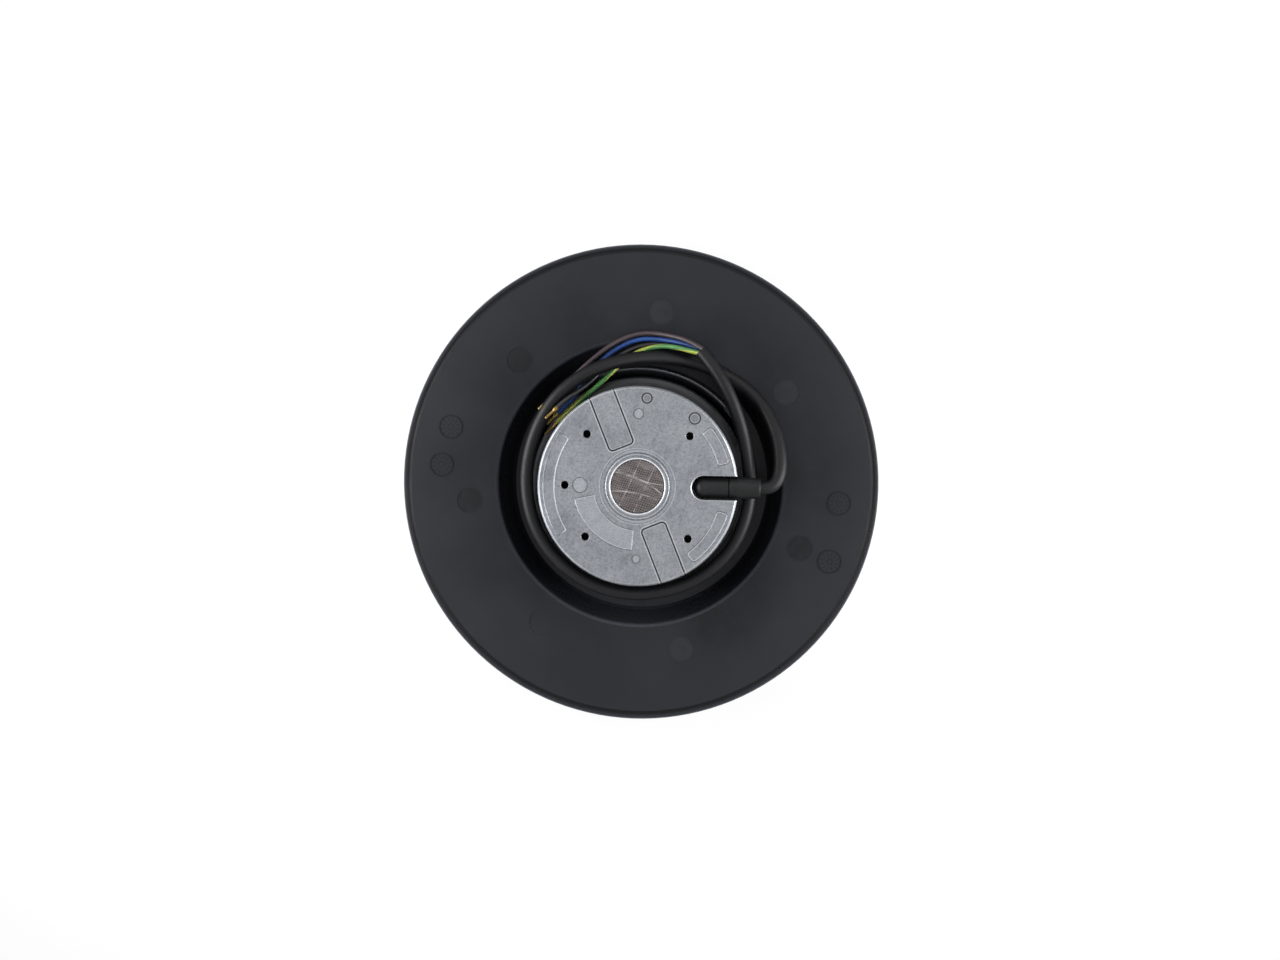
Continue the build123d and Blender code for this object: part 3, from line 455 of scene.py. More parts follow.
@dataclass(frozen=True)
class CastAluminium:
    """Die-cast aluminium: mottled grey skin, cold-flow clouds, painted highlights along the edges and painted shade in
    each groove.
    """

    name: str
    tone: str
    pale: str
    dark: str
    # Tones of the painted highlights along edges and of the painted shade in grooves.
    edge_highlight: str = "dfe2e6"
    edge_shade: str = "26282b"
    rough: float = 0.5
    face_mm: float = 99.0
    rim_mm: float = 46.0
    turned_rings: Sequence[tuple[float, float, str, float]] = (
        (12.5, 13.1, "dcdee2", 0.75), (13.8, 14.2, "35383c", 0.4), (14.5, 14.85, "c9ccd1", 0.45),
        (15.1, 15.5, "35383c", 0.4), (15.8, 17.2, "b4b8be", 0.25), (17.25, 17.6, "c9ccd1", 0.32),
    )
    pads: Sequence[float] = (112.3, -67.7)
    pad_in_mm: float = 19.6
    pad_width_mm: float = 11.1
    pad_corner_mm: float = 1.6
    frames: Sequence[tuple[float, float]] = ((15.7, 39.9), (-52.3, -15.9))
    long_frame: tuple[float, float] = (146.0, 213.0)
    frame_mm: tuple[float, float] = (38.4, 43.3)
    plate: tuple[float, float] = (192.5, 265.5)
    plate_mm: tuple[float, float] = (20.3, 29.3)
    dark_rings: Sequence[tuple[float, float, float]] = ((40.8, 84.8, 2.5), (40.9, 51.0, 2.8))
    pale_discs: Sequence[tuple[float, float, float]] = ((33.4, 90.0, 2.3), (26.4, 179.8, 3.4), (33.4, 270.0, 1.9))
    bolt_holes: Sequence[float] = (45.0, 135.0, 180.0, 225.0, 315.0)
    bolt_circle_mm: float = 33.4
    bolt_mm: float = 1.65
    slot_end_mm: float = 24.9
    slot_width_mm: float = 11.1

    def make(self) -> bpy.types.Material:
        """Build the material."""
        g = Graph(self.name)
        # Clouds where the metal met, smears along the flow and small dark freckles.
        cloud = g.spread(g.noise(15.0, 5.0, 0.6), 0.34, 0.68)
        smear = g.spread(g.noise(2.4, 5.0, 0.75, g.stretched((1.0, 0.35, 1.0), 22.0)), 0.4, 0.64)
        speck = g.spread(g.noise(1.3, 4.0, 0.75), 0.46, 0.66)
        freckle = g.spread(g.noise(0.7, 2.0, 0.6), 0.58, 0.72)
        colour = g.blend(cloud, linear(self.tone), linear(self.pale))
        colour = g.over(colour, smear, 0.55, self.pale)
        colour = g.over(colour, speck, 0.4, self.dark)
        colour = g.over(colour, freckle, 0.6, self.dark)
        top = g.spread(g.height(), self.face_mm - 1.3, self.face_mm - 1.1)
        colour = self.draw_seat(g, colour, top)
        colour = self.draw_pads(g, colour, top)
        colour = self.draw_frames(g, colour, top)
        colour = self.draw_spots(g, colour, top)
        colour = self.draw_edges(g, colour, top)
        rough = g.spread(cloud, 0.0, 1.0, self.rough + 0.08, self.rough - 0.06)
        peel = g.bump(g.noise(0.5, 3.0, 0.6), 0.03, 0.6)
        dents = g.bump(g.noise(3.5, 2.0), 0.05, 0.4, peel)
        return g.surface(Base_Color=colour, Metallic=0.85, Roughness=rough, Normal=dents)

    def draw_seat(self, g: Graph, colour: Any, top: Any) -> Any:
        """Lay the turned rings round the cap's seat over the colour.

        Args:
            g: The material's nodes.
            colour: The colour so far.
            top: Mask of the flange's outer face.

        Returns:
            The new colour.
        """
        out = g.radius()
        for low, high, tone, share in self.turned_rings:
            colour = g.over(colour, g.maths("MULTIPLY", g.between(out, low, high), top), share, tone)
        return colour

    def draw_pads(self, g: Graph, colour: Any, top: Any) -> Any:
        """Lay painted shade in the grooves round the two pads and painted highlights beside them.

        Args:
            g: The material's nodes.
            colour: The colour so far.
            top: Mask of the flange's outer face.

        Returns:
            The new colour.
        """
        half = self.rim_mm / 2
        for angle in self.pads:
            x, y = g.axes(angle)
            off = g.rounded(g.maths("SUBTRACT", x, self.pad_in_mm + half), y, half, self.pad_width_mm / 2,
                            self.pad_corner_mm)
            # Painted shade in each pad's groove, then painted highlights just outside and just inside it.
            colour = g.over(colour, g.maths("MULTIPLY", g.between(off, 0.0, 0.6), top), 0.8, self.edge_shade)
            colour = g.over(colour, g.maths("MULTIPLY", g.between(off, 0.8, 1.2), top), 0.3, self.edge_highlight)
            colour = g.over(colour, g.maths("MULTIPLY", g.between(off, -0.45, -0.15), top), 0.2, self.edge_highlight)
        return colour

    def ring_box(self, g: Graph, span: tuple[float, float], radii: tuple[float, float],
                 corner: float) -> bpy.types.NodeSocket:
        """Distance outside a piece of a ring with round corners.

        Args:
            g: The material's nodes.
            span: Where it starts and ends, in degrees.
            radii: Its inner and outer radius in millimetres.
            corner: Radius of its corners in millimetres.

        Returns:
            The distance in millimetres, below nought inside it.
        """
        middle_r, half_r = sum(radii) / 2, (radii[1] - radii[0]) / 2
        x, y = g.axes(sum(span) / 2)
        along = g.maths("MULTIPLY", g.maths("ARCTAN2", y, x), middle_r)
        half_l = math.radians(span[1] - span[0]) / 2 * middle_r
        return g.rounded(g.maths("SUBTRACT", g.radius(), middle_r), along, half_r, half_l, corner)

    def draw_frames(self, g: Graph, colour: Any, top: Any) -> Any:
        """Lay painted highlight and painted shade lines along the recesses by the rim and the sunk plate.

        Args:
            g: The material's nodes.
            colour: The colour so far.
            top: Mask of the flange's outer face.

        Returns:
            The new colour.
        """
        for span in self.frames:
            off = self.ring_box(g, span, self.frame_mm, 1.2)
            # Painted highlight inside each recess's edge and painted shade just outside it.
            colour = g.over(colour, g.maths("MULTIPLY", g.between(off, -0.3, 0.0), top), 0.42, self.edge_highlight)
            colour = g.over(colour, g.maths("MULTIPLY", g.between(off, 0.1, 0.5), top), 0.42, self.edge_shade)
        off = self.ring_box(g, self.long_frame, self.frame_mm, 1.2)
        inner = g.maths("MULTIPLY", g.spread(g.radius(), 40.0, 41.5, 1.0, 0.0), top)
        # The same painted highlight and shade lines on the long recess, where it lies inside 41 mm.
        colour = g.over(colour, g.maths("MULTIPLY", g.between(off, -0.3, 0.0), inner), 0.55, self.edge_highlight)
        colour = g.over(colour, g.maths("MULTIPLY", g.between(off, 0.2, 0.6), inner), 0.25, self.edge_shade)
        off = self.ring_box(g, self.plate, self.plate_mm, 0.4)
        colour = g.over(colour, g.maths("MULTIPLY", g.spread(off, -0.1, 0.1, 1.0, 0.0), top), 0.2, "b4b8be")
        # Painted highlight and painted shade lines round the sunk plate.
        colour = g.over(colour, g.maths("MULTIPLY", g.between(off, -0.3, 0.0), top), 0.28, self.edge_highlight)
        return g.over(colour, g.maths("MULTIPLY", g.between(off, 0.1, 0.45), top), 0.3, self.edge_shade)

    def draw_spots(self, g: Graph, colour: Any, top: Any) -> Any:
        """Lay the round ejector marks with painted highlight and shade lines round them, and painted shade in the bolt
        holes, over the colour.

        Args:
            g: The material's nodes.
            colour: The colour so far.
            top: Mask of the flange's outer face.

        Returns:
            The new colour.
        """
        for r, angle, size in self.dark_rings:
            off = g.away((r * math.cos(math.radians(angle)), r * math.sin(math.radians(angle)), 0.0))
            colour = g.over(colour, g.maths("MULTIPLY", g.spread(off, size - 0.7, size - 0.5, 1.0, 0.0), top), 0.3,
                            self.dark)
            # Painted shade and painted highlight lines round each dark mark's edge.
            colour = g.over(colour, g.maths("MULTIPLY", g.between(off, size - 0.6, size + 0.1), top), 0.75, self.edge_shade)
            colour = g.over(colour, g.maths("MULTIPLY", g.between(off, size - 1.0, size - 0.7), top), 0.2, self.edge_highlight)
        for r, angle, size in self.pale_discs:
            off = g.away((r * math.cos(math.radians(angle)), r * math.sin(math.radians(angle)), 0.0))
            colour = g.over(colour, g.maths("MULTIPLY", g.spread(off, size - 0.7, size - 0.5, 1.0, 0.0), top), 0.24,
                            "b9bdc3")
            # Painted highlight and painted shade lines round each pale disc.
            colour = g.over(colour, g.maths("MULTIPLY", g.between(off, size - 0.6, size - 0.2), top), 0.28, self.edge_highlight)
            colour = g.over(colour, g.maths("MULTIPLY", g.between(off, size - 0.1, size + 0.3), top), 0.45, self.edge_shade)
        for angle in self.bolt_holes:
            turn = math.radians(angle)
            off = g.away((self.bolt_circle_mm * math.cos(turn), self.bolt_circle_mm * math.sin(turn), 0.0))
            # Painted shade fills each bolt hole nearly black.
            colour = g.over(colour, g.spread(off, self.bolt_mm + 0.1, self.bolt_mm + 0.25, 1.0, 0.0), 0.97, "020203")
        return colour

    def draw_edges(self, g: Graph, colour: Any, top: Any) -> Any:
        """Lay a painted highlight round the rim and round the cable's slot, and painted shade inside the slot, over the
        colour.

        Args:
            g: The material's nodes.
            colour: The colour so far.
            top: Mask of the flange's outer face.

        Returns:
            The new colour.
        """
        # Painted highlight round the flange's rim.
        rim = g.maths("MULTIPLY", g.between(g.radius(), self.rim_mm - 1.0, self.rim_mm - 0.55), top)
        patchy = g.spread(g.noise(18.0, 2.0), 0.35, 0.6, 0.25, 1.0)
        colour = g.over(colour, g.maths("MULTIPLY", rim, patchy), 0.6, self.edge_highlight)
        x, y = g.axes()
        length = self.rim_mm
        slot = g.rounded(g.maths("SUBTRACT", x, self.slot_end_mm + length), y, length, self.slot_width_mm / 2,
                         self.slot_width_mm / 2)
        # Painted highlight round the slot's edge.
        colour = g.over(colour, g.maths("MULTIPLY", g.between(slot, 0.05, 0.45), top), 0.5, self.edge_highlight)
        # Painted shade over the inside of the slot, down to its floor.
        return g.over(colour, g.spread(slot, -0.6, -0.4, 1.0, 0.0), 0.9, "0a0b0c")


@dataclass(frozen=True)
class ScratchedSteel:
    """Pressed steel with a fine woven polish in two directions and a few long pale scratches."""

    name: str
    tone: str
    shade: str
    scratch: str
    rough: float = 0.36
    weave: Sequence[float] = (-15.0, 68.0)
    strand_mm: float = 1.05
    bows: Sequence[tuple[float, float, float]] = ((-14.6, -31.3, 38.0), (-9.6, -51.3, 49.0), (14.1, 44.9, 44.0))
    lines: Sequence[tuple[float, float]] = ((-24.0, 3.4), (-24.0, -3.8))

    def make(self) -> bpy.types.Material:
        """Build the material."""
        g = Graph(self.name)
        # Two sets of drawn-out strands cross each other, a little uneven in tone.
        lines = None
        for turn in self.weave:
            x, y = g.axes(turn)
            wander = g.spread(g.noise(3.0, 3.0), 0.3, 0.7, -1.6, 1.6)
            strand = g.maths("SINE", g.maths("ADD", g.maths("MULTIPLY", y, 2 * math.pi / self.strand_mm), wander))
            sharp = g.spread(strand, -0.8, 0.9)
            lines = sharp if lines is None else g.maths("ADD", g.maths("MULTIPLY", lines, 0.5),
                                                        g.maths("MULTIPLY", sharp, 0.5))
        colour = g.blend(lines, linear(self.shade), linear(self.tone))
        cloud = g.spread(g.noise(3.0, 4.0, 0.7, g.stretched((0.35, 1.0, 1.0), 15.0)), 0.45, 0.68, 0.0, 0.3)
        colour = g.blend(cloud, colour, linear(self.scratch))
        for x, y, size in self.bows:
            near = g.between(g.away((x, y, 0.0)), size - 0.22, size + 0.22, 0.15)
            colour = g.over(colour, g.maths("MULTIPLY", near, g.spread(g.noise(5.0, 2.0), 0.35, 0.6)), 0.7, "c9c2c3")
        for turn, shift in self.lines:
            x, y = g.axes(turn)
            near = g.between(x, shift - 0.12, shift + 0.12, 0.08)
            colour = g.over(colour, g.maths("MULTIPLY", near, g.spread(g.noise(2.0, 2.0), 0.35, 0.6)), 0.55, "d8d4d4")
        rough = g.spread(lines, 0.0, 1.0, self.rough + 0.1, self.rough)
        return g.surface(Base_Color=colour, Metallic=1.0, Roughness=rough, Normal=g.bump(lines, 0.02, 0.5))


@dataclass(frozen=True)
class PlainMetal:
    """Metal with a worn tone, a soft cloud and a fine grain of one real size."""

    name: str
    tone: str
    cloud: str
    rough: float = 0.35
    metallic: float = 1.0
    grain_mm: float = 0.3
    depth_mm: float = 0.006

    def make(self) -> bpy.types.Material:
        """Build the material."""
        g = Graph(self.name)
        cloud = g.spread(g.noise(6.0, 4.0, 0.55), 0.34, 0.68)
        colour = g.blend(cloud, linear(self.tone), linear(self.cloud))
        rough = g.spread(cloud, 0.0, 1.0, self.rough + 0.06, self.rough - 0.05)
        grain = g.bump(g.noise(self.grain_mm, 2.0), self.depth_mm, 0.5)
        return g.surface(Base_Color=colour, Metallic=self.metallic, Roughness=rough, Normal=grain)


@dataclass(frozen=True)
class StackedSheets:
    """Laminated steel: the edge of each sheet shows as a line round the stack."""

    name: str
    tone: str
    gap: str
    sheet_mm: float = 0.5

    def make(self) -> bpy.types.Material:
        """Build the material."""
        g = Graph(self.name)
        turn = g.maths("MULTIPLY", g.height(), 2 * math.pi / self.sheet_mm)
        line = g.spread(g.maths("SINE", turn), 0.55, 1.0)
        colour = g.blend(line, linear(self.tone), linear(self.gap))
        rust = g.spread(g.noise(4.0, 4.0, 0.6), 0.5, 0.8, 0.0, 0.4)
        colour = g.blend(rust, colour, linear(self.gap))
        return g.surface(Base_Color=colour, Metallic=0.9, Roughness=0.42, Normal=g.bump(line, -0.03, 0.7))


@dataclass(frozen=True)
class WoundWire:
    """Enamelled winding: turns of wire side by side under a thin varnish."""

    name: str
    tone: str
    shade: str
    wire_mm: float = 0.45

    def make(self) -> bpy.types.Material:
        """Build the material."""
        g = Graph(self.name)
        strand = g.maths("SINE", g.maths("MULTIPLY", g.radius(), 2 * math.pi / self.wire_mm))
        wobble = g.maths("ADD", strand, g.spread(g.noise(1.4, 2.0), 0.3, 0.7, -0.5, 0.5))
        turn = g.spread(wobble, -1.0, 1.0)
        colour = g.blend(turn, linear(self.shade), linear(self.tone))
        return g.surface(Base_Color=colour, Metallic=0.55, Roughness=0.3, Normal=g.bump(turn, 0.12, 0.8),
                         Coat_Weight=0.4, Coat_Roughness=0.2)


@dataclass(frozen=True)
class Rubber:
    """Soft black compound with a dull bloom and a fine grain."""

    name: str
    tone: str
    bloom: str
    rough: float = 0.5
    grain_mm: float = 0.4

    def make(self) -> bpy.types.Material:
        """Build the material."""
        g = Graph(self.name)
        # Pale bloom and rubbed spots that dust leaves on a dark compound.
        bloom = g.spread(g.noise(7.0, 5.0, 0.65), 0.48, 0.76)
        dust = g.spread(g.noise(0.6, 2.0, 0.5), 0.66, 0.74, 0.0, 0.5)
        colour = g.blend(g.maths("MULTIPLY", bloom, 0.6), linear(self.tone), linear(self.bloom))
        colour = g.blend(dust, colour, linear(self.bloom))
        rough = g.maths("ADD", g.spread(bloom, 0.0, 1.0, -0.04, 0.08), self.rough)
        grain = g.bump(g.noise(self.grain_mm, 3.0), 0.02, 0.5)
        return g.surface(Base_Color=colour, Roughness=rough, Normal=grain, Specular_IOR_Level=0.25)


@dataclass(frozen=True)
class WireCover:
    """Thin smooth wire insulation, plain or with a second colour running round it."""

    name: str
    tone: str
    stripe: str = ""
    turns: float = 1.8
    start: float = 0.5
    rough: float = 0.48

    def make(self) -> bpy.types.Material:
        """Build the material."""
        g = Graph(self.name)
        shade = g.spread(g.noise(3.0, 3.0), 0.35, 0.7, 0.0, 0.22)
        colour: Any = linear(self.tone)
        if self.stripe:
            # The stripe follows the wire, slowly winding round it.
            own = g.add("ShaderNodeSeparateXYZ", Vector=g.add("ShaderNodeUVMap").outputs["UV"])
            along = g.maths("ADD", g.maths("MULTIPLY", own.outputs["X"], self.turns), self.start)
            round_it = g.maths("FRACT", g.maths("ADD", along, own.outputs["Y"]))
            edge = g.spread(g.maths("ABSOLUTE", g.maths("SUBTRACT", round_it, 0.5)), 0.24, 0.27)
            colour = g.blend(edge, colour, linear(self.stripe))
        colour = g.blend(shade, colour, linear("101012"))
        return g.surface(Base_Color=colour, Roughness=self.rough, Normal=g.bump(g.noise(0.5, 2.0), 0.01, 0.4),
                         Specular_IOR_Level=0.5)


# Cords


@dataclass
class Cord:
    """One round cord on a smooth line through the corners of its route."""

    name: str
    route: Sequence[Point]
    thickness: float
    length: float
    cover: bpy.types.Material
    far_end: str
    stiffness: Lay
    ends: Sequence[bpy.types.Object] = field(default_factory=list)

    def build(self) -> bpy.types.Object:
        """Returns:
            The curve object.
        """
        data = bpy.data.curves.new(f"{self.name}_line", "CURVE")
        data.dimensions = "3D"
        data.bevel_depth = self.thickness / 2
        data.bevel_resolution = 5
        data.resolution_u = 14
        data.use_fill_caps = True
        spline = data.splines.new("NURBS")
        spline.points.add(len(self.route) - 1)
        for spot, corner in zip(spline.points, self.route):
            spot.co = (*[value * MM for value in corner], 1.0)
        spline.order_u = 3
        spline.use_endpoint_u = True
        data.materials.append(self.cover)
        cord = bpy.data.objects.new(f"{self.name}_laid", data)
        bpy.context.scene.collection.objects.link(cord)
        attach(cord, Body.STATOR.value)
        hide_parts(self.name)
        LOG.info("cord %s laid, %d corners", self.name, len(self.route))
        return cord


@dataclass
class Leads:
    """The supply cable, wound once round the motor, and its four free conductors."""

    cable_route: Sequence[Point] = (
        (56.6, 0, 93.6), (60.4, 0.2, 93.5), (63.7, 2.6, 92.9), (65.4, 6.8, 91.7),
        (65.7, 12.4, 89.6), (64.9, 19.6, 86.6), (62.8, 27.2, 83.2), (59.2, 34.8, 79.9),
        (54, 41.4, 77.2), (46.5, 47.9, 75.2), (36.4, 53.4, 74.3), (23.5, 58.1, 75.4),
        (6.1, 60, 80.4), (-11.6, 57.6, 85.6), (-27.1, 50.8, 88), (-40, 40.1, 87.6),
        (-48.6, 24.9, 85.6), (-52.7, 8.3, 84.3), (-52.4, -7.6, 84), (-47.4, -23.5, 84),
        (-37.3, -36.9, 84), (-22, -47.5, 84), (-3.6, -51.8, 84), (14.2, -49.8, 84),
        (30.5, -42.7, 84), (42.9, -31.2, 84), (49.9, -17, 84), (52.2, -2.3, 84),
        (51, 10.8, 84.2), (48.7, 22.5, 85.2), (45.2, 34.2, 86.6), (39.8, 46.3, 87),
        (33.1, 56.7, 86), (28, 62.5, 84),
    )
    brown_route: Sequence[Point] = (
        (28.8, 63.6, 85.3), (22, 67.6, 82.4), (14.9, 69.5, 78.4), (7.1, 70.9, 75),
        (-1, 70.9, 73.4), (-8.5, 68.6, 74.2), (-15.8, 64.3, 76.4), (-22.3, 58.8, 78.6),
        (-28.2, 53.2, 80), (-33.4, 48, 80.5), (-38, 43.4, 80.6), (-42.4, 39.3, 80.6),
    )
    blue_route: Sequence[Point] = (
        (29.2, 63.1, 82.7), (21, 65.8, 79.4), (13.7, 67.4, 75.8), (6.6, 68.3, 73.4),
        (-0.8, 68.2, 72.9), (-8.1, 65.8, 73.1), (-14.4, 61.7, 74), (-19.3, 57.1, 76.2),
        (-23.2, 52.3, 80.2), (-26.4, 47.2, 82.8), (-29.7, 42.3, 83), (-34.1, 37.3, 82.6),
        (-38.5, 32.7, 82.5),
    )
    black_route: Sequence[Point] = (
        (27.2, 61.4, 82.7), (22.4, 62.6, 77.8), (16.4, 64.8, 74.6), (9.5, 65.9, 73.2),
        (1.4, 65.5, 72.9), (-5.9, 63, 73.3), (-12.1, 59, 75.8), (-17, 54.6, 79.6),
        (-21, 50, 82.9), (-25, 46, 85.2), (-29.6, 42.4, 87.8), (-34.3, 39.2, 90),
        (-38.2, 35.4, 90.5),
    )
    earth_route: Sequence[Point] = (
        (26.8, 61.9, 85.3), (22, 63, 83.6), (16.2, 64.4, 81.4), (10.2, 65, 78.8),
        (3.6, 64, 76.2), (-2.5, 61.8, 75.8), (-7.5, 58.4, 78.2), (-11.9, 54, 82),
        (-16.5, 49.2, 83.6), (-22, 44.2, 83.2), (-28.1, 38.7, 82.6), (-34.1, 33.2, 82.5),
        (-39.2, 28, 82.4),
    )
    cable_thickness: float = 0.0062
    core_thickness: float = 0.0022
    cable_length: float = 0.428
    core_lengths: dict[str, float] = field(default_factory=lambda: {
        "brown": 0.0869, "blue": 0.0868, "black": 0.083, "earth": 0.083})

    def build(self) -> None:
        """Make the cable, its conductors and their crimped tips."""
        sheath = Rubber("extruded_cable_sheath", "07070a", "101114", 0.5, 0.6).make()
        sleeve = bpy.data.objects["cable_sleeve"]
        Cord("mains_cable", self.cable_route, self.cable_thickness, self.cable_length, sheath, "bare",
             Lay.MEDIUM, [sleeve]).build()
        covers = {
            "brown": WireCover("brown_wire_cover", "33272b"),
            "blue": WireCover("blue_wire_cover", "1d4488"),
            "black": WireCover("black_wire_cover", "0f1012"),
            "earth": WireCover("green_yellow_wire_cover", "a0a944", "487f42"),
        }
        routes = {"brown": self.brown_route, "blue": self.blue_route, "black": self.black_route,
                  "earth": self.earth_route}
        brass = PlainMetal("crimped_brass", "9c8350", "65542f", 0.38).make()
        for colour, route in routes.items():
            tip = Ferrule(colour, Vector(route[-2]) * MM, Vector(route[-1]) * MM, brass).build()
            Cord(f"{colour}_conductor", route, self.core_thickness, self.core_lengths[colour],
                 covers[colour].make(), "fitting", Lay.LIMP, [tip]).build()


# Modelling with the edit tools


def only(obj: bpy.types.Object) -> None:
    """Select one object alone and make it active."""
    bpy.ops.object.select_all(action="DESELECT")
    obj.select_set(True)
    bpy.context.view_layer.objects.active = obj


def clear_selection() -> None:
    """Leave nothing selected."""
    bpy.ops.object.select_all(action="DESELECT")


def pick_faces(obj: bpy.types.Object, test: Callable[[Vector, Vector], bool]) -> None:
    """Select the faces whose centre and normal pass a test, in edit mode.

    Args:
        obj: The active object, in edit mode.
        test: Takes a face's centre and its normal.
    """
    bpy.ops.mesh.select_mode(type="FACE")
    bpy.ops.mesh.select_all(action="DESELECT")
    mesh = bmesh.from_edit_mesh(obj.data)
    for face in mesh.faces:
        face.select_set(test(face.calc_center_median(), face.normal))
    bmesh.update_edit_mesh(obj.data)


def settle(obj: bpy.types.Object, placing: Matrix | None = None) -> None:
    """Put an object's place into its mesh and leave it at the origin.

    Args:
        obj: The object.
        placing: Where its mesh goes, or None to keep it where it stands.
    """
    only(obj)
    if placing is not None:
        obj.matrix_world = placing
        bpy.context.view_layer.update()
    bpy.ops.object.transform_apply(location=True, rotation=True, scale=True)


@dataclass
class Ferrule:
    """Brass ferrule on a conductor's end, with a rolled collar and a tube that is narrowed and widened in turn."""

    colour: str
    before: Vector
    end: Vector
    metal: bpy.types.Material
    length: float = 0.0075
    collar_r: float = 0.0012
    collar_length: float = 0.0016
    tube_r: float = 0.00075
    crimps: int = 3

    def build(self) -> bpy.types.Object:
        """Model the ferrule along Z, then lay it on in line with the wire.

        Returns:
            The ferrule.
        """
        clear_selection()
        bpy.ops.mesh.primitive_cylinder_add(vertices=24, radius=self.collar_r, depth=self.collar_length,
                                            location=(0, 0, self.collar_length / 2))
        tip = bpy.context.active_object
        tip.name = f"{self.colour}_crimped_ferrule"
        settle(tip)
        bpy.ops.object.mode_set(mode="EDIT")
        top = self.collar_length
        self.step(tip, top, self.tube_r / self.collar_r, 0.0006)
        height = top + 0.0006
        run = (self.length - height - 0.0004) / (2 * self.crimps)
        for number in range(2 * self.crimps):
            height = self.step(tip, height, 0.86 if number % 2 == 0 else 1 / 0.86, run)
        self.step(tip, height, 0.7, 0.0004)
        bpy.ops.object.mode_set(mode="OBJECT")
        bevel = tip.modifiers.new("rolled edges", "BEVEL")
        bevel.width = 0.00012
        bevel.segments = 2
        bevel.limit_method = "ANGLE"
        only(tip)
        bpy.ops.object.modifier_apply(modifier=bevel.name)
        bpy.ops.object.shade_smooth_by_angle(angle=math.radians(40))
        direction = (self.end - self.before).normalized()
        turn = direction.to_track_quat("Z", "Y").to_matrix().to_4x4()
        settle(tip, Matrix.Translation(self.end) @ turn)
        tip.data.materials.append(self.metal)
        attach(tip, Body.STATOR.value)
        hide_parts(f"{self.colour}_ferrule")
        LOG.info("ferrule %s", self.colour)
        return tip

    def step(self, tip: bpy.types.Object, height: float, share: float, run: float) -> float:
        """Draw the end face on by one step and change its size.

        Args:
            tip: The ferrule, in edit mode.
            height: Where its end face is now.
            share: Size of the new end face as a share of the present one.
            run: How far it is drawn on.

        Returns:
            Where the end face is then.
        """
        pick_faces(tip, lambda centre, normal: normal.z > 0.9 and centre.z > height - 1e-5)
        bpy.ops.mesh.extrude_region_move(TRANSFORM_OT_translate={"value": (0, 0, run)})
        bpy.ops.transform.resize(value=(share, share, 1))
        return height + run


# Dressing the CAD parts


def dress(material: bpy.types.Material, *names: str) -> None:
    """Give CAD nodes a material.

    Args:
        material: The finish.
        names: The nodes.
    """
    for name in names:
        node = bpy.data.objects[name]
        node.data.materials.clear()
        node.data.materials.append(material)
        LOG.info("%s in %s", name, material.name)


@dataclass
class Impeller:
    """The moulded impeller and what turns with it."""

    blade_count: int = 7
    tone: str = "141518"
    cloud: str = "1f2024"
    # Painted fill light: the bowl's tone is paler than the disc's base tone.
    bowl: str = "1f2024"

    def build(self) -> None:
        """Dress the disc, blades, shroud, clip, screws and rotor."""
        dress(DiscPlastic("moulded_disc_plastic", self.tone, self.cloud, self.bowl).make(), "impeller_disc")
        blades = [f"blade_{number}" for number in range(1, self.blade_count + 1)]
        dress(MouldedPlastic("moulded_black_plastic", self.tone, self.cloud).make(), "inlet_shroud", *blades)
        dress(PlainMetal("blued_clip_steel", "33353a", "1d1e21", 0.34).make(), "balance_clip")
        dress(PlainMetal("spring_steel", "b4b5b7", "8d8e90", 0.28).make(), "shaft_clip", "preload_washer")
        dress(PlainMetal("dark_coated_can_steel", "26272a", "1b1c1e", 0.45, 0.3).make(), "rotor_can")
        dress(PlainMetal("zinc_plated_screw_steel", "b9bbc0", "95979c", 0.3).make(), "hub_screws")
        dress(PlainMetal("cast_cage_aluminium", "a9abad", "868889", 0.5, 0.9, 0.6, 0.03).make(), "squirrel_cage")
        dress(PlainMetal("ground_shaft_steel", "c2c4c8", "a6a8ac", 0.2).make(), "shaft")


@dataclass
class Motor:
    """Bearings, laminations, windings and the flange of the motor."""

    flange_tone: str = "6d7075"
    flange_pale: str = "8e9196"
    flange_dark: str = "45484c"

    def build(self) -> None:
        """Dress the stator's parts."""
        cast = CastAluminium("die_cast_aluminium", self.flange_tone, self.flange_pale, self.flange_dark)
        dress(cast.make(), "stator_flange")
        dress(ScratchedSteel("scratched_cap_steel", "77706f", "3b3738", "a39c9d").make(), "bearing_cap")
        race = PlainMetal("ground_race_steel", "bfc1c5", "a0a2a6", 0.18).make()
        shield = PlainMetal("pressed_shield_steel", "a2a3a5", "848587", 0.3).make()
        for place in ("lower", "upper"):
            dress(race, *[f"{place}_bearing_{part}" for part in ("outer_ring", "inner_ring", "balls")])
            dress(shield, f"{place}_bearing_shields")
        dress(StackedSheets("lamination_edges", "85878a", "3a3a3c").make(), "stator_core", "rotor_core")
        plate = MouldedPlastic("natural_end_plate_plastic", "cfcabb", "b9b3a2", 0.5, 0.4).make()
        dress(plate, "lower_insulator", "upper_insulator")
        dress(WoundWire("main_winding_wire", "b5652f", "6d3416").make(), "main_winding")
        dress(WoundWire("auxiliary_winding_wire", "a04a22", "5b2a12", 0.3).make(), "auxiliary_winding")
        dress(MouldedPlastic("protector_case_plastic", "1d1e20", "26272a").make(), "thermal_protector")
        dress(Rubber("moulded_sleeve_rubber", "0a0b0c", "1a1c1f", 0.5).make(), "cable_sleeve")


# Light, floor and camera


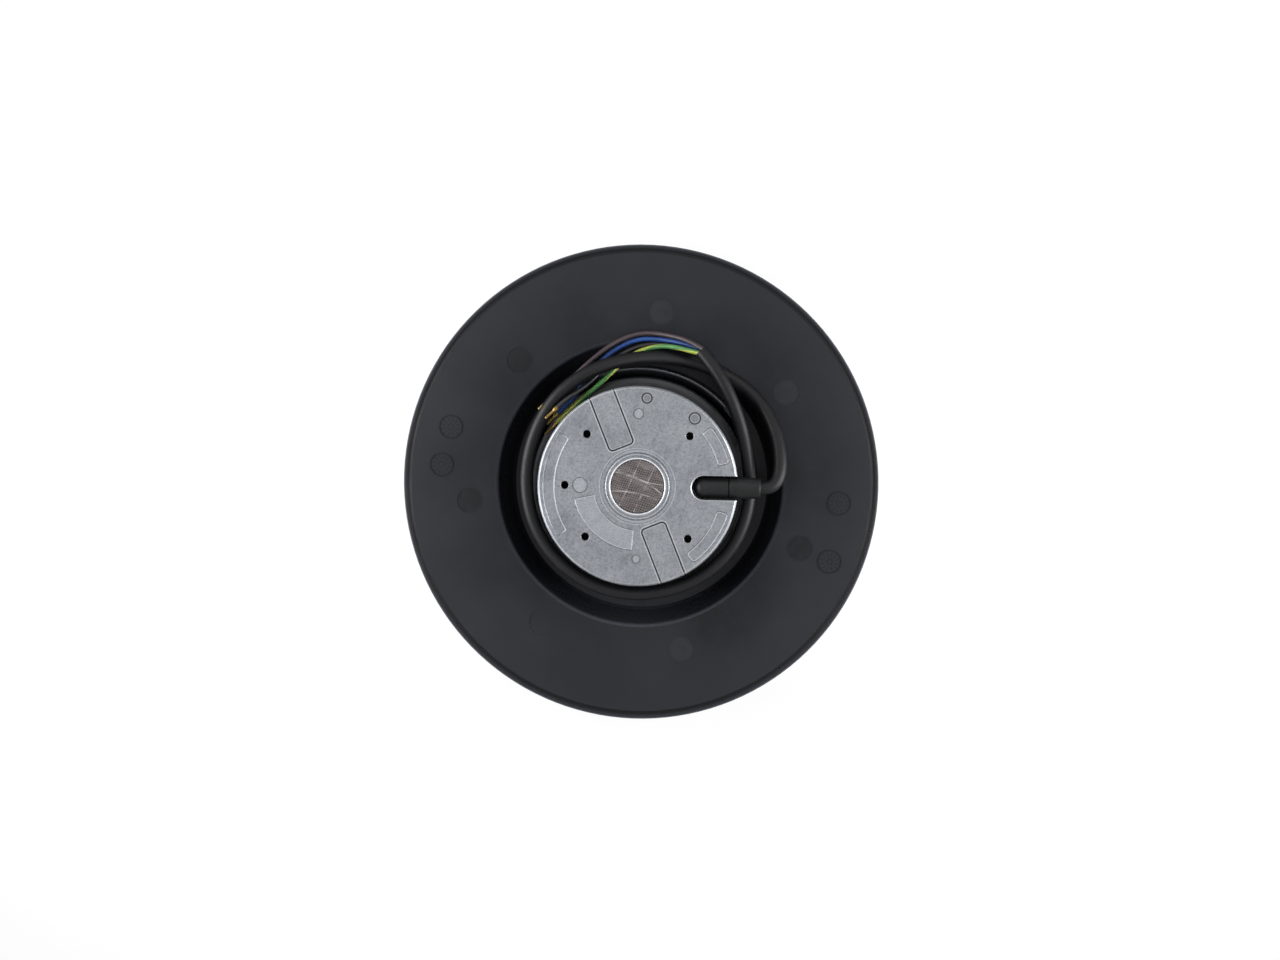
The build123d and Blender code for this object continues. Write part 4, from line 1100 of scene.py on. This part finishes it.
@dataclass
class Studio:
    """White floor, even surroundings and soft boxes on either side."""

    floor_size: float = 6.0
    surround: float = 0.34
    boxes: Sequence[tuple[Point, float, float]] = (
        ((-0.34, 0.03, 0.22), 0.3, 2.35),
        ((0.34, 0.0, 0.22), 0.3, 2.2),
        ((0.1, 1.0, 1.3), 0.8, 2.6),
    )

    def build(self) -> None:
        """Make the world, the floor and the lamps."""
        self.light_world()
        self.lay_floor()
        for number, (place, size, power) in enumerate(self.boxes, start=1):
            self.hang_box(f"soft_box_{number}", Vector(place), size, power)

    def light_world(self) -> None:
        """Even light all round, white where it is seen or mirrored."""
        world = bpy.data.worlds.new("studio_surround")
        world.use_nodes = True
        tree = world.node_tree
        tree.nodes.clear()
        path = tree.nodes.new("ShaderNodeLightPath")
        seen = tree.nodes.new("ShaderNodeMath")
        seen.operation = "MAXIMUM"
        tree.links.new(path.outputs["Is Camera Ray"], seen.inputs[0])
        mirrored = tree.nodes.new("ShaderNodeMath")
        mirrored.operation = "MAXIMUM"
        tree.links.new(path.outputs["Is Glossy Ray"], mirrored.inputs[0])
        tree.links.new(path.outputs["Is Transmission Ray"], mirrored.inputs[1])
        tree.links.new(mirrored.outputs[0], seen.inputs[1])
        strength = tree.nodes.new("ShaderNodeMapRange")
        tree.links.new(seen.outputs[0], strength.inputs["Value"])
        strength.inputs["To Min"].default_value = self.surround
        strength.inputs["To Max"].default_value = 1.0
        background = tree.nodes.new("ShaderNodeBackground")
        background.inputs["Color"].default_value = (1, 1, 1, 1)
        tree.links.new(strength.outputs["Result"], background.inputs["Strength"])
        output = tree.nodes.new("ShaderNodeOutputWorld")
        tree.links.new(background.outputs[0], output.inputs["Surface"])
        bpy.context.scene.world = world

    def lay_floor(self) -> None:
        """White floor that keeps a soft shadow."""
        clear_selection()
        bpy.ops.mesh.primitive_plane_add(size=self.floor_size, location=(0, 0, -0.0002))
        floor = bpy.context.active_object
        floor.name = "studio_floor"
        settle(floor)
        g = Graph("white_floor")
        card = g.add("ShaderNodeBsdfDiffuse", Color=linear("f4f4f4"))
        path = g.add("ShaderNodeLightPath")
        glow = g.add("ShaderNodeEmission", Color=(1, 1, 1, 1), Strength=1.0)
        share = g.maths("MULTIPLY", path.outputs["Is Camera Ray"], 0.84)
        mixed = g.add("ShaderNodeMixShader", in0=share, in1=card.outputs[0], in2=glow.outputs[0])
        g.add("ShaderNodeOutputMaterial", Surface=mixed.outputs[0])
        floor.data.materials.append(g.material)

    def hang_box(self, name: str, place: Vector, size: float, power: float) -> None:
        """Hang one square soft box that faces the fan.

        Args:
            name: The lamp's name.
            place: Where it hangs.
            size: Its side.
            power: Its power in watts.
        """
        lamp = bpy.data.lights.new(name, "AREA")
        lamp.size = size
        lamp.energy = power
        holder = bpy.data.objects.new(name, lamp)
        bpy.context.scene.collection.objects.link(holder)
        holder.location = place
        holder.rotation_euler = (Vector((0, 0, 0.07)) - place).to_track_quat("-Z", "Y").to_euler()


@dataclass
class Camera:
    """Camera nearly straight above the fan."""

    place: Point = (0.0366, 0.0488, 0.9377)
    aim: Point = (0.0, 0.0015, 0.071)
    lens_mm: float = 51.55
    up_angle: float = 91.1

    def build(self) -> None:
        """Place the camera and make it the scene's."""
        data = bpy.data.cameras.new("camera")
        data.lens = self.lens_mm
        data.sensor_width = 36.0
        data.sensor_fit = "HORIZONTAL"
        holder = bpy.data.objects.new("camera", data)
        bpy.context.scene.collection.objects.link(holder)
        forward = (Vector(self.aim) - Vector(self.place)).normalized()
        turn = math.radians(self.up_angle)
        right = forward.cross(Vector((math.cos(turn), math.sin(turn), 0))).normalized()
        above = right.cross(forward)
        rotation = Matrix((right, above, -forward)).transposed().to_4x4()
        holder.matrix_world = Matrix.Translation(self.place) @ rotation
        bpy.context.scene.camera = holder


def main() -> None:
    """Build the camera and cords, then the finishes and the studio."""
    logging.basicConfig(level=logging.INFO, format="%(name)s: %(message)s")
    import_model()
    bpy.context.scene.view_settings.view_transform = "Standard"
    Camera().build()
    Leads().build()
    Impeller().build()
    Motor().build()
    Studio().build()
    LOG.info("size written")


if __name__ == "__main__":
    main()
